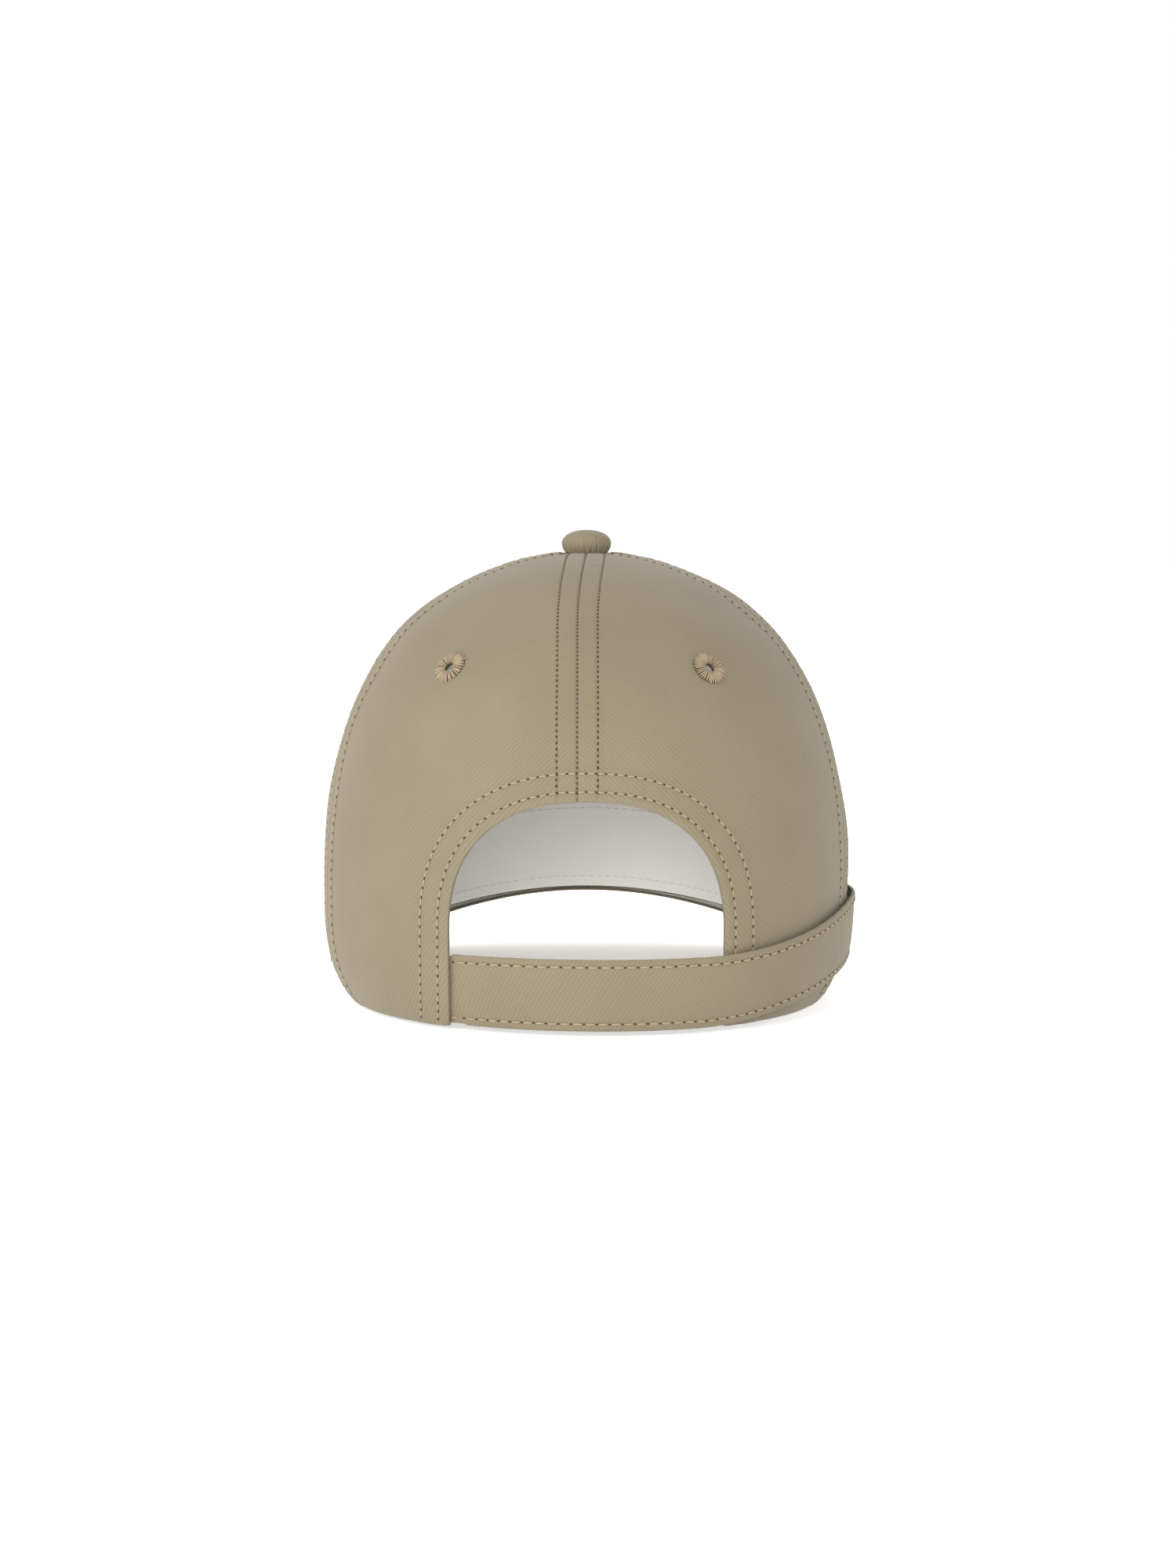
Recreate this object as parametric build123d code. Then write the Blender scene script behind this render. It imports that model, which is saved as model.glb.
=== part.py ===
from build123d import *
import os
from math import asin, cos, pi, radians, sin

# A six-panel baseball cap with a rear arch and a hook-and-loop strap, in millimetres.
# The origin is the centre of the head opening, level with the lowest edge of the rim.
# +Z is up, the visor points along -Y, and the wearer's left is +X.
# Azimuths are in degrees: 0 at the back of the head, 90 at the wearer's left, 180 in front.
# Depths are measured inwards from the outside of the crown, so a negative depth stands proud.

# crown
crown_half_width = 86.0
crown_half_length = 101.0
crown_height = 145.0
widest_height = 39.0
profile_power = 2.29
front_profile_power = 2.6
side_tuck = 0.111
end_tuck = 0.043
tuck_power = 3.4
apex_hole_radius = 4.0
side_seam_azimuth = 75.0
front_seam_azimuth = 128.0
rear_seam_drift = 2.8
rear_seam_drift_levels = 0.35
front_profile_start = 90.0
front_profile_span = 70.0
seam_gap = 0.16

# cloth layers
cloth = 0.8
buckram = 0.6
buckram_top_radius = 20.0
buckram_inset = 1.5
tape = 0.5
tape_width = 16.0
tape_top_radius = 17.5
layer_gap = 0.15
hem_lift = 0.8

# rear arch
arch_half_width = 42.5
arch_top = 70.5
arch_spring = 30.0
arch_power = 2.35
facing_width = 11.0
facing_overcut = 6.0
facing_half_span = 48.0

# sweatband and care label
sweatband_height = 31.0
sweatband_thickness = 1.2
sweatband_end_inset = 3.0
label_width = 22.0
label_height = 14.0
label_thickness = 0.3
label_azimuth = -62.0

# strap and its hook-and-loop fastener
strap_width = 22.4
strap_thickness = 1.0
strap_rim_clearance = 0.6
strap_rise = 12.0
strap_rise_start = 38.0
strap_rise_length = 102.0
strap_hidden_span = 22.0
strap_end_azimuth = -99.0
strap_edge_clearance = 1.4
strap_tape_clearance = 0.2
strap_band_clearance = 0.3
hinge_gap = 0.4
pad_thickness = 0.45
pad_width = 16.0
pad_gap = 0.34
pad_start_azimuth = -38.0
pad_end_azimuth = -92.0

# eyelets
eyelet_outer_radius = 5.6
eyelet_hole_radius = 1.7
eyelet_wall = 0.45
eyelet_clearance = 0.1
eyelet_rise = 0.9
eyelet_seat = 0.3
eyelet_hump = 0.8
eyelet_punch_length = 8.0
rear_eyelet_height = 110.0
rear_eyelet_spread = 35.9
side_eyelet_height = 110.0
front_eyelet_height = 113.0

# button and its rivet
button_radius = 8.0
button_height = 7.4
button_cloth = 0.7
button_shell_wall = 0.6
button_side_share = 0.55
button_foot_share = 0.8
button_shoulder_share = 0.93
button_crown_share = 0.92
rivet_radius = 1.9
rivet_head_radius = 3.2
rivet_head_thickness = 0.8
rivet_top_clearance = 0.3
washer_radius = 6.5
washer_thickness = 0.8
washer_clearance = 0.9
rivet_tail = 0.7

# visor
visor_corner_azimuth = 115.0
visor_reach = 69.0
visor_corner_reach = 4.0
visor_fullness = 3.2
visor_splay = 48.0
visor_arch_radius = 160.0
visor_slope = 0.06
visor_board_thickness = 1.8
visor_cover = 0.8
visor_hem_width = 1.6
visor_seam_gap = 0.2
visor_crest_trial_height = 15.0
rim_blend_start = 72.0

# the share of the levels that lies below the widest height
WALL_LEVELS = 0.2

# how finely the curved slabs are laid out, so that stacked layers stay clear of each other
layout_spacing = 5.3
COLUMNS = round(crown_half_width / layout_spacing) + 1
ROWS = 2 * COLUMNS - 1
ROUND_COLUMNS = 2 * COLUMNS + 3
VISOR_ROWS = 9
BAND_ROWS = 5
STRAP_ROWS = 7

dome_height = crown_height - widest_height
seams = {
    "left_side": side_seam_azimuth,
    "left_front": front_seam_azimuth,
    "front": 180.0,
    "right_front": 360.0 - front_seam_azimuth,
    "right_side": 360.0 - side_seam_azimuth,
}


def smooth(share):
    """Ease from 0 to 1 with flat ends."""
    share = min(max(share, 0.0), 1.0)
    return share * share * (3.0 - 2.0 * share)


def from_rear(azimuth):
    """An azimuth's angle away from the back, 0 to 180."""
    return abs((azimuth + 180.0) % 360.0 - 180.0)


# ---- the crown's outer surface


def section_power(azimuth):
    """The profile is squarer over the stiffened front panels."""
    front = smooth((from_rear(azimuth) - front_profile_start) / front_profile_span)
    return profile_power + (front_profile_power - profile_power) * front


def level_height(azimuth, level):
    """Height of a level, which is 0 in the rim's plane and 1 at the apex."""
    if level < WALL_LEVELS:
        return widest_height * level / WALL_LEVELS
    angle = (level - WALL_LEVELS) / (1.0 - WALL_LEVELS) * pi / 2
    return widest_height + dome_height * sin(angle) ** (2.0 / section_power(azimuth))


def height_level(azimuth, height):
    """Level of a height, the inverse of level_height."""
    if height < widest_height:
        return WALL_LEVELS * height / widest_height
    rise = min((height - widest_height) / dome_height, 1.0)
    angle = asin(rise ** (section_power(azimuth) / 2.0))
    return WALL_LEVELS + (1.0 - WALL_LEVELS) * angle / (pi / 2)


def radius_level(azimuth, radius):
    """Level where the dome's half width has shrunk to a radius."""
    share = (radius / crown_half_width) ** (section_power(azimuth) / 2.0)
    return WALL_LEVELS + (1.0 - WALL_LEVELS) * (1.0 - asin(share) / (pi / 2))


def outer_point(azimuth, level):
    """A point on the outside of the crown."""
    height = level_height(azimuth, level)
    if level < WALL_LEVELS:
        tuck = ((widest_height - height) / widest_height) ** tuck_power
        across, along = 1.0 - side_tuck * tuck, 1.0 - end_tuck * tuck
    else:
        angle = (level - WALL_LEVELS) / (1.0 - WALL_LEVELS) * pi / 2
        across = along = cos(angle) ** (2.0 / section_power(azimuth))
    x = crown_half_width * across * sin(radians(azimuth))
    y = crown_half_length * along * cos(radians(azimuth))
    return Vector(x, y, height)


def outward(azimuth, level):
    """The crown's outward normal."""
    low, high = max(level - 0.002, 0.0), min(level + 0.002, 0.9999)
    upwards = outer_point(azimuth, high) - outer_point(azimuth, low)
    sideways = outer_point(azimuth + 0.2, level) - outer_point(azimuth - 0.2, level)
    return upwards.cross(sideways).normalized()


def shell_point(azimuth, level, depth):
    """A point a given depth inside the crown's outer surface."""
    return outer_point(azimuth, level) - outward(azimuth, level) * depth


def degrees_for(width, azimuth, level):
    """How many degrees of azimuth a width takes at a level."""
    one_degree = outer_point(azimuth + 0.5, level) - outer_point(azimuth - 0.5, level)
    return width / one_degree.length


def seam_azimuth(name, level):
    """Azimuth of a seam. The rear seam drifts off centre below the button."""
    if name != "rear":
        return seams[name]
    drift = rear_seam_drift * smooth((1.0 - level) / rear_seam_drift_levels)
    return degrees_for(drift, 0.0, level)


apex_level = radius_level(0.0, apex_hole_radius)

# ---- solids between two grids of points


def closed_block(outer_grid, inner_grid):
    """A solid between two matching grids of points, with ruled sides."""
    outer = Face.make_surface_from_array_of_points(outer_grid, tol=0.003)
    inner = Face.make_surface_from_array_of_points(inner_grid, tol=0.003)
    outer_corners, inner_corners = grid_corners(outer_grid), grid_corners(inner_grid)
    sides = []
    for i in range(4):
        j = (i + 1) % 4
        top = edge_between(outer, outer_corners[i], outer_corners[j])
        low = edge_between(inner, inner_corners[i], inner_corners[j])
        sides.append(Face.make_surface_from_curves(top, low))
    block = Solid(Shell([outer, inner] + sides))
    if block.volume < 0:
        block = Solid(Shell([-face for face in block.faces()]))
    return block


def grid_corners(grid):
    return [Vector(grid[0][0]), Vector(grid[0][-1]), Vector(grid[-1][-1]), Vector(grid[-1][0])]


def edge_between(face, start, end):
    """The edge of a face that joins two corners."""

    def miss(edge):
        a, b = edge @ 0, edge @ 1
        forwards = (a - start).length + (b - end).length
        backwards = (a - end).length + (b - start).length
        return min(forwards, backwards)

    return face.edges().sort_by(miss)[0]


def slab(place, thickness, rows, columns):
    """A slab whose place function gives a point for shares up and along, and a depth."""
    grids = []
    for depth in (0.0, thickness):
        grid = []
        for i in range(rows):
            row = [place(i / (rows - 1), j / (columns - 1), depth) for j in range(columns)]
            grid.append(row)
        grids.append(grid)
    return closed_block(grids[0], grids[1])


def gore_slab(left, right, inset, low, top_level, depth, thickness):
    """A slab between two seams, from a height above the rim to a level."""
    middle = (seams.get(left, 0.0) + seams.get(right, 360.0)) / 2
    full_turn = 360.0 if right == "rear" else 0.0

    def place(up, along, inner):
        azimuth = middle
        for _ in range(3):
            start = height_level(azimuth, rim_height(azimuth) + low)
            level = start + (top_level - start) * up
            first = seam_azimuth(left, level)
            last = seam_azimuth(right, level) + full_turn
            trim = degrees_for(inset, middle, level)
            azimuth = first + trim + (last - first - 2 * trim) * along
        return shell_point(azimuth, level, depth + inner)

    return slab(place, thickness, ROWS, COLUMNS)


def band_slab(start, end, low, height, depth, thickness, columns):
    """A slab round the rim between two azimuths, with its lower edge above the rim."""

    def place(up, along, inner):
        azimuth = start + (end - start) * along
        level = height_level(azimuth, rim_height(azimuth) + low + height * up)
        return shell_point(azimuth, level, depth + inner)

    return slab(place, thickness, BAND_ROWS, columns)


# ---- visor shape, which the rim follows in front


def visor_share(azimuth):
    """0 in the middle of the visor, 1 at its right corner and -1 at its left."""
    return (azimuth - 180.0) / (180.0 - visor_corner_azimuth)


def visor_plan(azimuth, out, root_height, trim=0.0):
    """Plan position on the visor: out is 0 at the crown and 1 at the edge."""
    share = visor_share(azimuth)
    level = height_level(azimuth, root_height)
    root = outer_point(azimuth, level) + outward(azimuth, level) * visor_seam_gap
    full = 1.0 - abs(share) ** visor_fullness
    reach = visor_corner_reach + (visor_reach - visor_corner_reach) * full - trim
    splay = radians(visor_splay) * share
    return root.X - reach * out * sin(splay), root.Y - reach * out * cos(splay)


def visor_drop(x, y):
    """How far the visor's underside lies below its crest line at the origin."""
    return x * x / (2 * visor_arch_radius) - visor_slope * y


def visor_crest():
    """Height of the crest line that puts the visor's lowest edge on the floor."""
    steps = 60
    span = 180.0 - visor_corner_azimuth
    azimuths = [180.0 + span * (i / steps) for i in range(steps + 1)]
    edge = [visor_plan(azimuth, 1.0, visor_crest_trial_height) for azimuth in azimuths]
    return max(visor_drop(x, y) for x, y in edge)


crest_height = visor_crest()
visor_stack = 2 * visor_cover + visor_board_thickness + 2 * layer_gap


def rim_height(azimuth):
    """The rim is level behind and lifts to the visor in front."""
    spot = outer_point(azimuth, 0.0)
    lift = crest_height - visor_drop(spot.X, spot.Y) + visor_cover
    span = visor_corner_azimuth - rim_blend_start
    return lift * smooth((from_rear(azimuth) - rim_blend_start) / span)


def visor_slab(bottom, thickness, out_start=0.0, trim=0.0):
    """One layer of the visor, its underside a given height over the visor's underside."""

    def place(up, along, inner):
        azimuth = visor_corner_azimuth + (360.0 - 2 * visor_corner_azimuth) * along
        root_height = rim_height(azimuth) + visor_stack
        out = out_start + (1.0 - out_start) * up
        x, y = visor_plan(azimuth, out, root_height, trim)
        return Vector(x, y, crest_height - visor_drop(x, y) + bottom + thickness - inner)

    return slab(place, thickness, VISOR_ROWS, ROUND_COLUMNS)


# ---- arch


def arch_face(margin):
    """The rear opening's outline, grown by a margin, in the plane of X and Z."""
    half, rise = arch_half_width + margin, arch_top - arch_spring + margin
    steps = 12
    curve = []
    for i in range(steps + 1):
        angle = pi * i / steps
        across = abs(cos(angle)) ** (2.0 / arch_power)
        up = sin(angle) ** (2.0 / arch_power) if 0 < i < steps else 0.0
        sign = 1.0 if i * 2 < steps else -1.0
        curve.append((sign * half * across, arch_spring + rise * up))
    floor = -facing_overcut
    top = Spline(*curve, tangents=[(0, 1), (0, -1)])
    legs = Polyline((-half, arch_spring), (-half, floor), (half, floor), (half, arch_spring))
    return Plane.XZ * make_face(Wire([top, *legs.edges()]))


def arch_prism(margin):
    """The opening's outline carried straight back through the rear wall."""
    reach = crown_half_length + strap_width
    return extrude(arch_face(margin), amount=-reach)


# ---- eyelets


def eyelet_plane(azimuth, height):
    level = height_level(azimuth, height)
    return Plane(origin=outer_point(azimuth, level), z_dir=outward(azimuth, level))


def eyelet_hole(azimuth, height):
    """The punched hole that an eyelet's embroidery lines."""
    radius = eyelet_hole_radius + eyelet_wall + eyelet_clearance
    return eyelet_plane(azimuth, height) * Cylinder(radius, eyelet_punch_length)


def eyelet(azimuth, height):
    """An embroidered ring on the outside and its lining through the cloth."""
    reach = cloth + layer_gap + buckram
    inner, outer = eyelet_hole_radius, eyelet_outer_radius
    lip = (inner + eyelet_clearance, eyelet_rise * eyelet_hump)
    rim = (outer, eyelet_seat)
    profile = Polyline(
        lip,
        (inner, -reach),
        (inner + eyelet_wall, -reach),
        (inner + eyelet_wall, eyelet_seat),
        rim,
    )
    hump = ThreePointArc(rim, ((inner + outer) / 2, eyelet_rise), lip)
    ring = revolve(Plane.XZ * make_face(Wire([*profile.edges(), hump])), Axis.Z)
    return eyelet_plane(azimuth, height) * ring


rear_middle = seam_azimuth("rear", height_level(0.0, rear_eyelet_height))
side_middle = (side_seam_azimuth + front_seam_azimuth) / 2
front_middle = (front_seam_azimuth + 180.0) / 2
eyelets = {
    "rear_left": (rear_middle + rear_eyelet_spread, rear_eyelet_height),
    "side_left": (side_middle, side_eyelet_height),
    "front_left": (front_middle, front_eyelet_height),
    "front_right": (360.0 - front_middle, front_eyelet_height),
    "side_right": (360.0 - side_middle, side_eyelet_height),
    "rear_right": (rear_middle - rear_eyelet_spread, rear_eyelet_height),
}
gores = {
    "rear_left": ("rear", "left_side"),
    "side_left": ("left_side", "left_front"),
    "front_left": ("left_front", "front"),
    "front_right": ("front", "right_front"),
    "side_right": ("right_front", "right_side"),
    "rear_right": ("right_side", "rear"),
}

# ---- crown parts


def crown_panel(name):
    left, right = gores[name]
    piece = gore_slab(left, right, seam_gap / 2, 0.0, apex_level, 0.0, cloth)
    piece -= eyelet_hole(*eyelets[name])
    if name.startswith("rear"):
        piece -= arch_prism(0.0)
    return piece


def front_lining(name):
    """Buckram that stiffens a front panel."""
    left, right = gores[name]
    top = radius_level(180.0, buckram_top_radius)
    depth = cloth + layer_gap
    piece = gore_slab(left, right, buckram_inset, hem_lift, top, depth, buckram)
    return piece - eyelet_hole(*eyelets[name])


def seam_tape(name):
    """Tape bound over the inside of a seam."""
    in_front = "front" in name
    depth = cloth + layer_gap + ((buckram + layer_gap) if in_front else 0.0)
    middle = seams.get(name, 0.0)
    top = radius_level(middle, tape_top_radius)
    bottom = rim_height(middle) + hem_lift
    if name == "rear":
        bottom = arch_top + facing_width + hem_lift
    start = height_level(middle, bottom)

    def place(up, along, inner):
        level = start + (top - start) * up
        centre = seam_azimuth(name, level)
        azimuth = centre + degrees_for(tape_width * (along - 0.5), centre, level)
        return shell_point(azimuth, level, depth + inner)

    return slab(place, tape, ROWS, BAND_ROWS)


def arch_facing():
    """Facing tape turned inside the edge of the rear arch."""
    top_level = height_level(0.0, arch_top + facing_width + facing_overcut)

    def place(up, along, inner):
        azimuth = facing_half_span * (2 * along - 1)
        start = height_level(azimuth, hem_lift)
        level = start + (top_level - start) * up
        return shell_point(azimuth, level, cloth + layer_gap + inner)

    backing = slab(place, tape, ROWS, ROUND_COLUMNS)
    return (backing & arch_prism(facing_width)) - arch_prism(0.0)


strap_anchor_depth = cloth + 2 * layer_gap + tape + strap_tape_clearance
sweatband_depth = strap_anchor_depth + strap_thickness + strap_band_clearance


def sweatband():
    edge = arch_edge_azimuth(0.0) + degrees_for(sweatband_end_inset, 0.0, 0.0)
    start, end = edge, 360.0 - edge
    return band_slab(
        start, end, hem_lift, sweatband_height, sweatband_depth, sweatband_thickness, ROUND_COLUMNS
    )


def care_label():
    span = degrees_for(label_width, label_azimuth, WALL_LEVELS / 2)
    low = (sweatband_height - label_height) / 2
    depth = sweatband_depth + sweatband_thickness + layer_gap
    start, end = label_azimuth - span / 2, label_azimuth + span / 2
    return band_slab(start, end, low, label_height, depth, label_thickness, BAND_ROWS)


# ---- strap


def arch_edge_azimuth(height):
    """Azimuth at which the rear wall reaches the side of the arch."""
    half = outer_point(90.0, height_level(90.0, height)).X
    return asin(arch_half_width / half) * 180.0 / pi


def rear_arc(azimuth):
    """Distance round the wall from the back of the cap to an azimuth on the right."""
    steps = 24
    points = [outer_point(azimuth * i / steps, WALL_LEVELS / 2) for i in range(steps + 1)]
    length = sum((b - a).length for a, b in zip(points, points[1:]))
    return length if azimuth < 0 else 0.0


def strap_middle(azimuth):
    """Height of the strap's middle line, which climbs where it lies on the right panel."""
    climb = strap_rise * smooth((rear_arc(azimuth) - strap_rise_start) / strap_rise_length)
    return strap_rim_clearance + strap_width / 2 + climb


edge_azimuth = arch_edge_azimuth(strap_middle(0.0))
root_azimuth = edge_azimuth - degrees_for(strap_edge_clearance, edge_azimuth, 0.0)
peel_azimuth = -root_azimuth
tail_depth = -(2 * layer_gap + 2 * pad_thickness + pad_gap + strap_thickness)


def strap_depth(azimuth):
    """Depth of the strap's outer face: under the left panel, over the right one."""
    share = (root_azimuth - azimuth) / (root_azimuth - peel_azimuth)
    return strap_anchor_depth + (tail_depth - strap_anchor_depth) * smooth(share)


def strap_point(azimuth, lift, depth):
    """A point on the strap, lift above its middle line and depth behind its outer face."""
    level = height_level(azimuth, strap_middle(azimuth) + lift)
    normal = outward(azimuth, level)
    sideways = Vector(normal.X, normal.Y, 0.0).normalized()
    return outer_point(azimuth, level) - sideways * (strap_depth(azimuth) + depth)


def strap_slab(start, end, width, depth, thickness, columns):
    def place(up, along, inner):
        azimuth = start + (end - start) * along
        return strap_point(azimuth, width * (up - 0.5), depth + inner)

    return slab(place, thickness, STRAP_ROWS, columns)


gap_azimuth = degrees_for(hinge_gap / 2, edge_azimuth, 0.0)


def strap_anchor():
    """The end of the strap sewn in under the left rear panel."""
    end = root_azimuth + strap_hidden_span
    start = root_azimuth + gap_azimuth
    return strap_slab(end, start, strap_width, 0.0, strap_thickness, STRAP_ROWS)


def strap_main():
    """The strap across the opening."""
    start, end = root_azimuth - gap_azimuth, peel_azimuth + gap_azimuth
    return strap_slab(start, end, strap_width, 0.0, strap_thickness, COLUMNS)


def strap_tail():
    """The end of the strap that lies over the right rear panel."""
    start = peel_azimuth - gap_azimuth
    return strap_slab(start, strap_end_azimuth, strap_width, 0.0, strap_thickness, COLUMNS)


def hook_pad():
    return fastener_pad(strap_thickness + layer_gap)


def loop_pad():
    return fastener_pad(strap_thickness + layer_gap + pad_thickness + pad_gap)


def fastener_pad(depth):
    """Half of the hook-and-loop fastener, behind the strap's tail."""
    start, end = pad_start_azimuth, pad_end_azimuth
    return strap_slab(start, end, pad_width, depth, pad_thickness, COLUMNS)


def hinge_point(azimuth):
    """The outermost point of the strap's top edge, where a fold outwards turns."""
    return strap_point(azimuth, strap_width / 2, 0.0)


# ---- button


def button_dome(radius, height):
    """A flattened dome standing on the apex."""
    rise = height * button_side_share
    foot = (radius * button_foot_share, 0.0)
    shoulder = (radius * button_shoulder_share, rise)
    brow = (radius * button_side_share, height * button_crown_share)
    profile = Polyline((0.0, height), (0.0, 0.0), foot)
    side = ThreePointArc(foot, (radius, rise * button_side_share), shoulder)
    top = Spline(shoulder, brow, (0.0, height))
    return revolve(Plane.XZ * make_face(Wire([*profile.edges(), side, top])), Axis.Z)


def button_parts():
    seat = Location((0, 0, crown_height + layer_gap))
    washer_top = crown_height - cloth - washer_clearance
    post_end = washer_top - washer_thickness - rivet_tail
    cover_core = button_dome(button_radius - button_cloth, button_height - button_cloth)
    cover = button_dome(button_radius, button_height) - cover_core
    shell_radius = button_radius - button_cloth - layer_gap
    shell_height = button_height - button_cloth - layer_gap
    shell_core = button_dome(shell_radius - button_shell_wall, shell_height - button_shell_wall)
    shell = button_dome(shell_radius, shell_height) - shell_core
    post_top = crown_height + layer_gap + shell_height - button_shell_wall - rivet_top_clearance
    post_length = post_top - post_end
    post = Pos(0, 0, post_end + post_length / 2) * Cylinder(rivet_radius, post_length)
    head_middle = post_end - rivet_head_thickness / 2
    head = Pos(0, 0, head_middle) * Cylinder(rivet_head_radius, rivet_head_thickness)
    washer_middle = washer_top - washer_thickness / 2
    ring = Cylinder(washer_radius, washer_thickness)
    ring -= Cylinder(rivet_radius + layer_gap, washer_thickness)
    return {
        "button_cover": seat * cover,
        "button_shell": seat * shell,
        "button_rivet": post + head,
        "button_washer": Pos(0, 0, washer_middle) * ring,
    }


# ---- visor parts


def visor_parts():
    board_bottom = visor_cover + layer_gap
    cover_bottom = board_bottom + visor_board_thickness + layer_gap
    hem_start = 1.0 - visor_hem_width / visor_reach
    board_trim = visor_hem_width + layer_gap
    return {
        "visor_lower_cover": visor_slab(0.0, visor_cover),
        "visor_board": visor_slab(board_bottom, visor_board_thickness, trim=board_trim),
        "visor_upper_cover": visor_slab(cover_bottom, visor_cover),
        "visor_edge_hem": visor_slab(board_bottom, visor_board_thickness, hem_start),
    }


# ---- write the parts


def all_parts():
    parts = {}
    for name in gores:
        parts[name + "_panel"] = crown_panel(name)
        parts[name + "_eyelet"] = eyelet(*eyelets[name])
    for name in ("front_left", "front_right"):
        parts[name + "_buckram"] = front_lining(name)
    for name in ("rear", *seams):
        parts[name + "_seam_tape"] = seam_tape(name)
    parts["arch_facing"] = arch_facing()
    parts["sweatband"] = sweatband()
    parts["care_label"] = care_label()
    parts["strap_anchor"] = strap_anchor()
    parts["strap_main"] = strap_main()
    parts["strap_tail"] = strap_tail()
    parts["hook_pad"] = hook_pad()
    parts["loop_pad"] = loop_pad()
    parts.update(button_parts())
    parts.update(visor_parts())
    return parts


def main():
    os.makedirs("parts", exist_ok=True)
    for name, shape in all_parts().items():
        export_step(shape, f"parts/{name}.step")
    for joint, azimuth in (("strap_root", root_azimuth), ("strap_peel", peel_azimuth)):
        spot = hinge_point(azimuth)
        print(joint, "axis passes through", round(spot.X, 3), round(spot.Y, 3), round(spot.Z, 3))


main()
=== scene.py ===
# %% [markdown]
# # A six-panel baseball cap
# The cap is sewn from curved cloth gores round a covered button, with an arch cut out of the back
# and a strap of the same cloth that closes over it. Nearly every visible piece is soft, so the
# frame from CAD gives the places and sizes, and Blender makes the cloth, the seams and the thread.
# %% Load the frame
import math

import bmesh
import bpy
import numpy as np
from mathutils import Matrix, Vector


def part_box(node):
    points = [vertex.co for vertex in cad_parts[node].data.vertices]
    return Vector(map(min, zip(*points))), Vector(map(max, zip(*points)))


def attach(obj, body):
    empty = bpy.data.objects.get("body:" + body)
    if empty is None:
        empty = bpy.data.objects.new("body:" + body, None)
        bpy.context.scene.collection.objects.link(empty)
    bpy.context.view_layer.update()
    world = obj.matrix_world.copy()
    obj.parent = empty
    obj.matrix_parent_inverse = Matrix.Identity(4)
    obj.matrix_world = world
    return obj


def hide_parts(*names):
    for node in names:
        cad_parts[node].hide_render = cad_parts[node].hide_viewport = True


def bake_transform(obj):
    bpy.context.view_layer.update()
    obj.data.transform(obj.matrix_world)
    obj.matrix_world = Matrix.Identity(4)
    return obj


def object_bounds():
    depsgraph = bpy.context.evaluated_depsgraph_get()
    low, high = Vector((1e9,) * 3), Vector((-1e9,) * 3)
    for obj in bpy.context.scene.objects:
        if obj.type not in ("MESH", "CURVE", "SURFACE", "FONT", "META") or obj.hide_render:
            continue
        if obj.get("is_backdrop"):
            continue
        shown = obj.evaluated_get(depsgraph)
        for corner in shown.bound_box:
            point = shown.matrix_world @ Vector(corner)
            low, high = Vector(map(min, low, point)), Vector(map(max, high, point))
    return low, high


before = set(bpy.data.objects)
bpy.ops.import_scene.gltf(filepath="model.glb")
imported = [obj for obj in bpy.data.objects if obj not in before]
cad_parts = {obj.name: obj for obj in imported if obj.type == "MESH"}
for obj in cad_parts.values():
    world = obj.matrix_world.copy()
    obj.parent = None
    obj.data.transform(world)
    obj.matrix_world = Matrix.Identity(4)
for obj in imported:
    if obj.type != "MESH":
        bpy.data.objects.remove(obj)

cad_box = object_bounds()
print("the CAD box runs", [[round(c, 4) for c in corner] for corner in cad_box])

# %% [markdown]
# ## The shape that everything is sewn to
# A cap has no flat faces and no true circles: its crown is an oval dome that is widest a little
# above the rim and tucks in below. It could be sculpted, but then seams and stitches would have to
# be projected onto it. One formula for the dome, with an azimuth round the head and a level up it,
# lets every cloth piece, seam and stitch be placed on the same surface. Sizes are in millimetres.
# %% The crown as a formula
MM = 0.001
HALF_WIDTH, HALF_LENGTH, HEIGHT, WIDEST = 86.0, 101.0, 145.0, 39.0
POWER, FRONT_POWER = 2.29, 2.6
SIDE_TUCK, END_TUCK, TUCK_POWER = 0.111, 0.043, 3.4
WALL = 0.2      # the level of the widest height


def ease(share):
    """Ease from 0 to 1 with flat ends."""
    share = np.clip(share, 0.0, 1.0)
    return share * share * (3.0 - 2.0 * share)


def turn_between(azimuth, other):
    """Signed angle from one azimuth to another, in degrees."""
    return (azimuth - other + 180.0) % 360.0 - 180.0


def from_rear(azimuth):
    return np.abs(turn_between(azimuth, 0.0))


def squareness(azimuth):
    """The profile is squarer over the stiffened front panels."""
    return POWER + (FRONT_POWER - POWER) * ease((from_rear(azimuth) - 90.0) / 70.0)


def height_level(azimuth, height):
    """Level of a height: 0 in the rim's plane and 1 at the apex."""
    rise = np.clip((height - WIDEST) / (HEIGHT - WIDEST), 0.0, 1.0)
    angle = np.arcsin(rise ** (squareness(azimuth) / 2))
    upper = WALL + (1 - WALL) * angle * 2 / np.pi
    return np.where(height < WIDEST, WALL * height / WIDEST, upper)


def radius_level(azimuth, radius):
    """Level where the dome's half width has shrunk to a radius."""
    share = (radius / HALF_WIDTH) ** (squareness(azimuth) / 2)
    return WALL + (1 - WALL) * (1 - np.arcsin(share) * 2 / np.pi)


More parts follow.
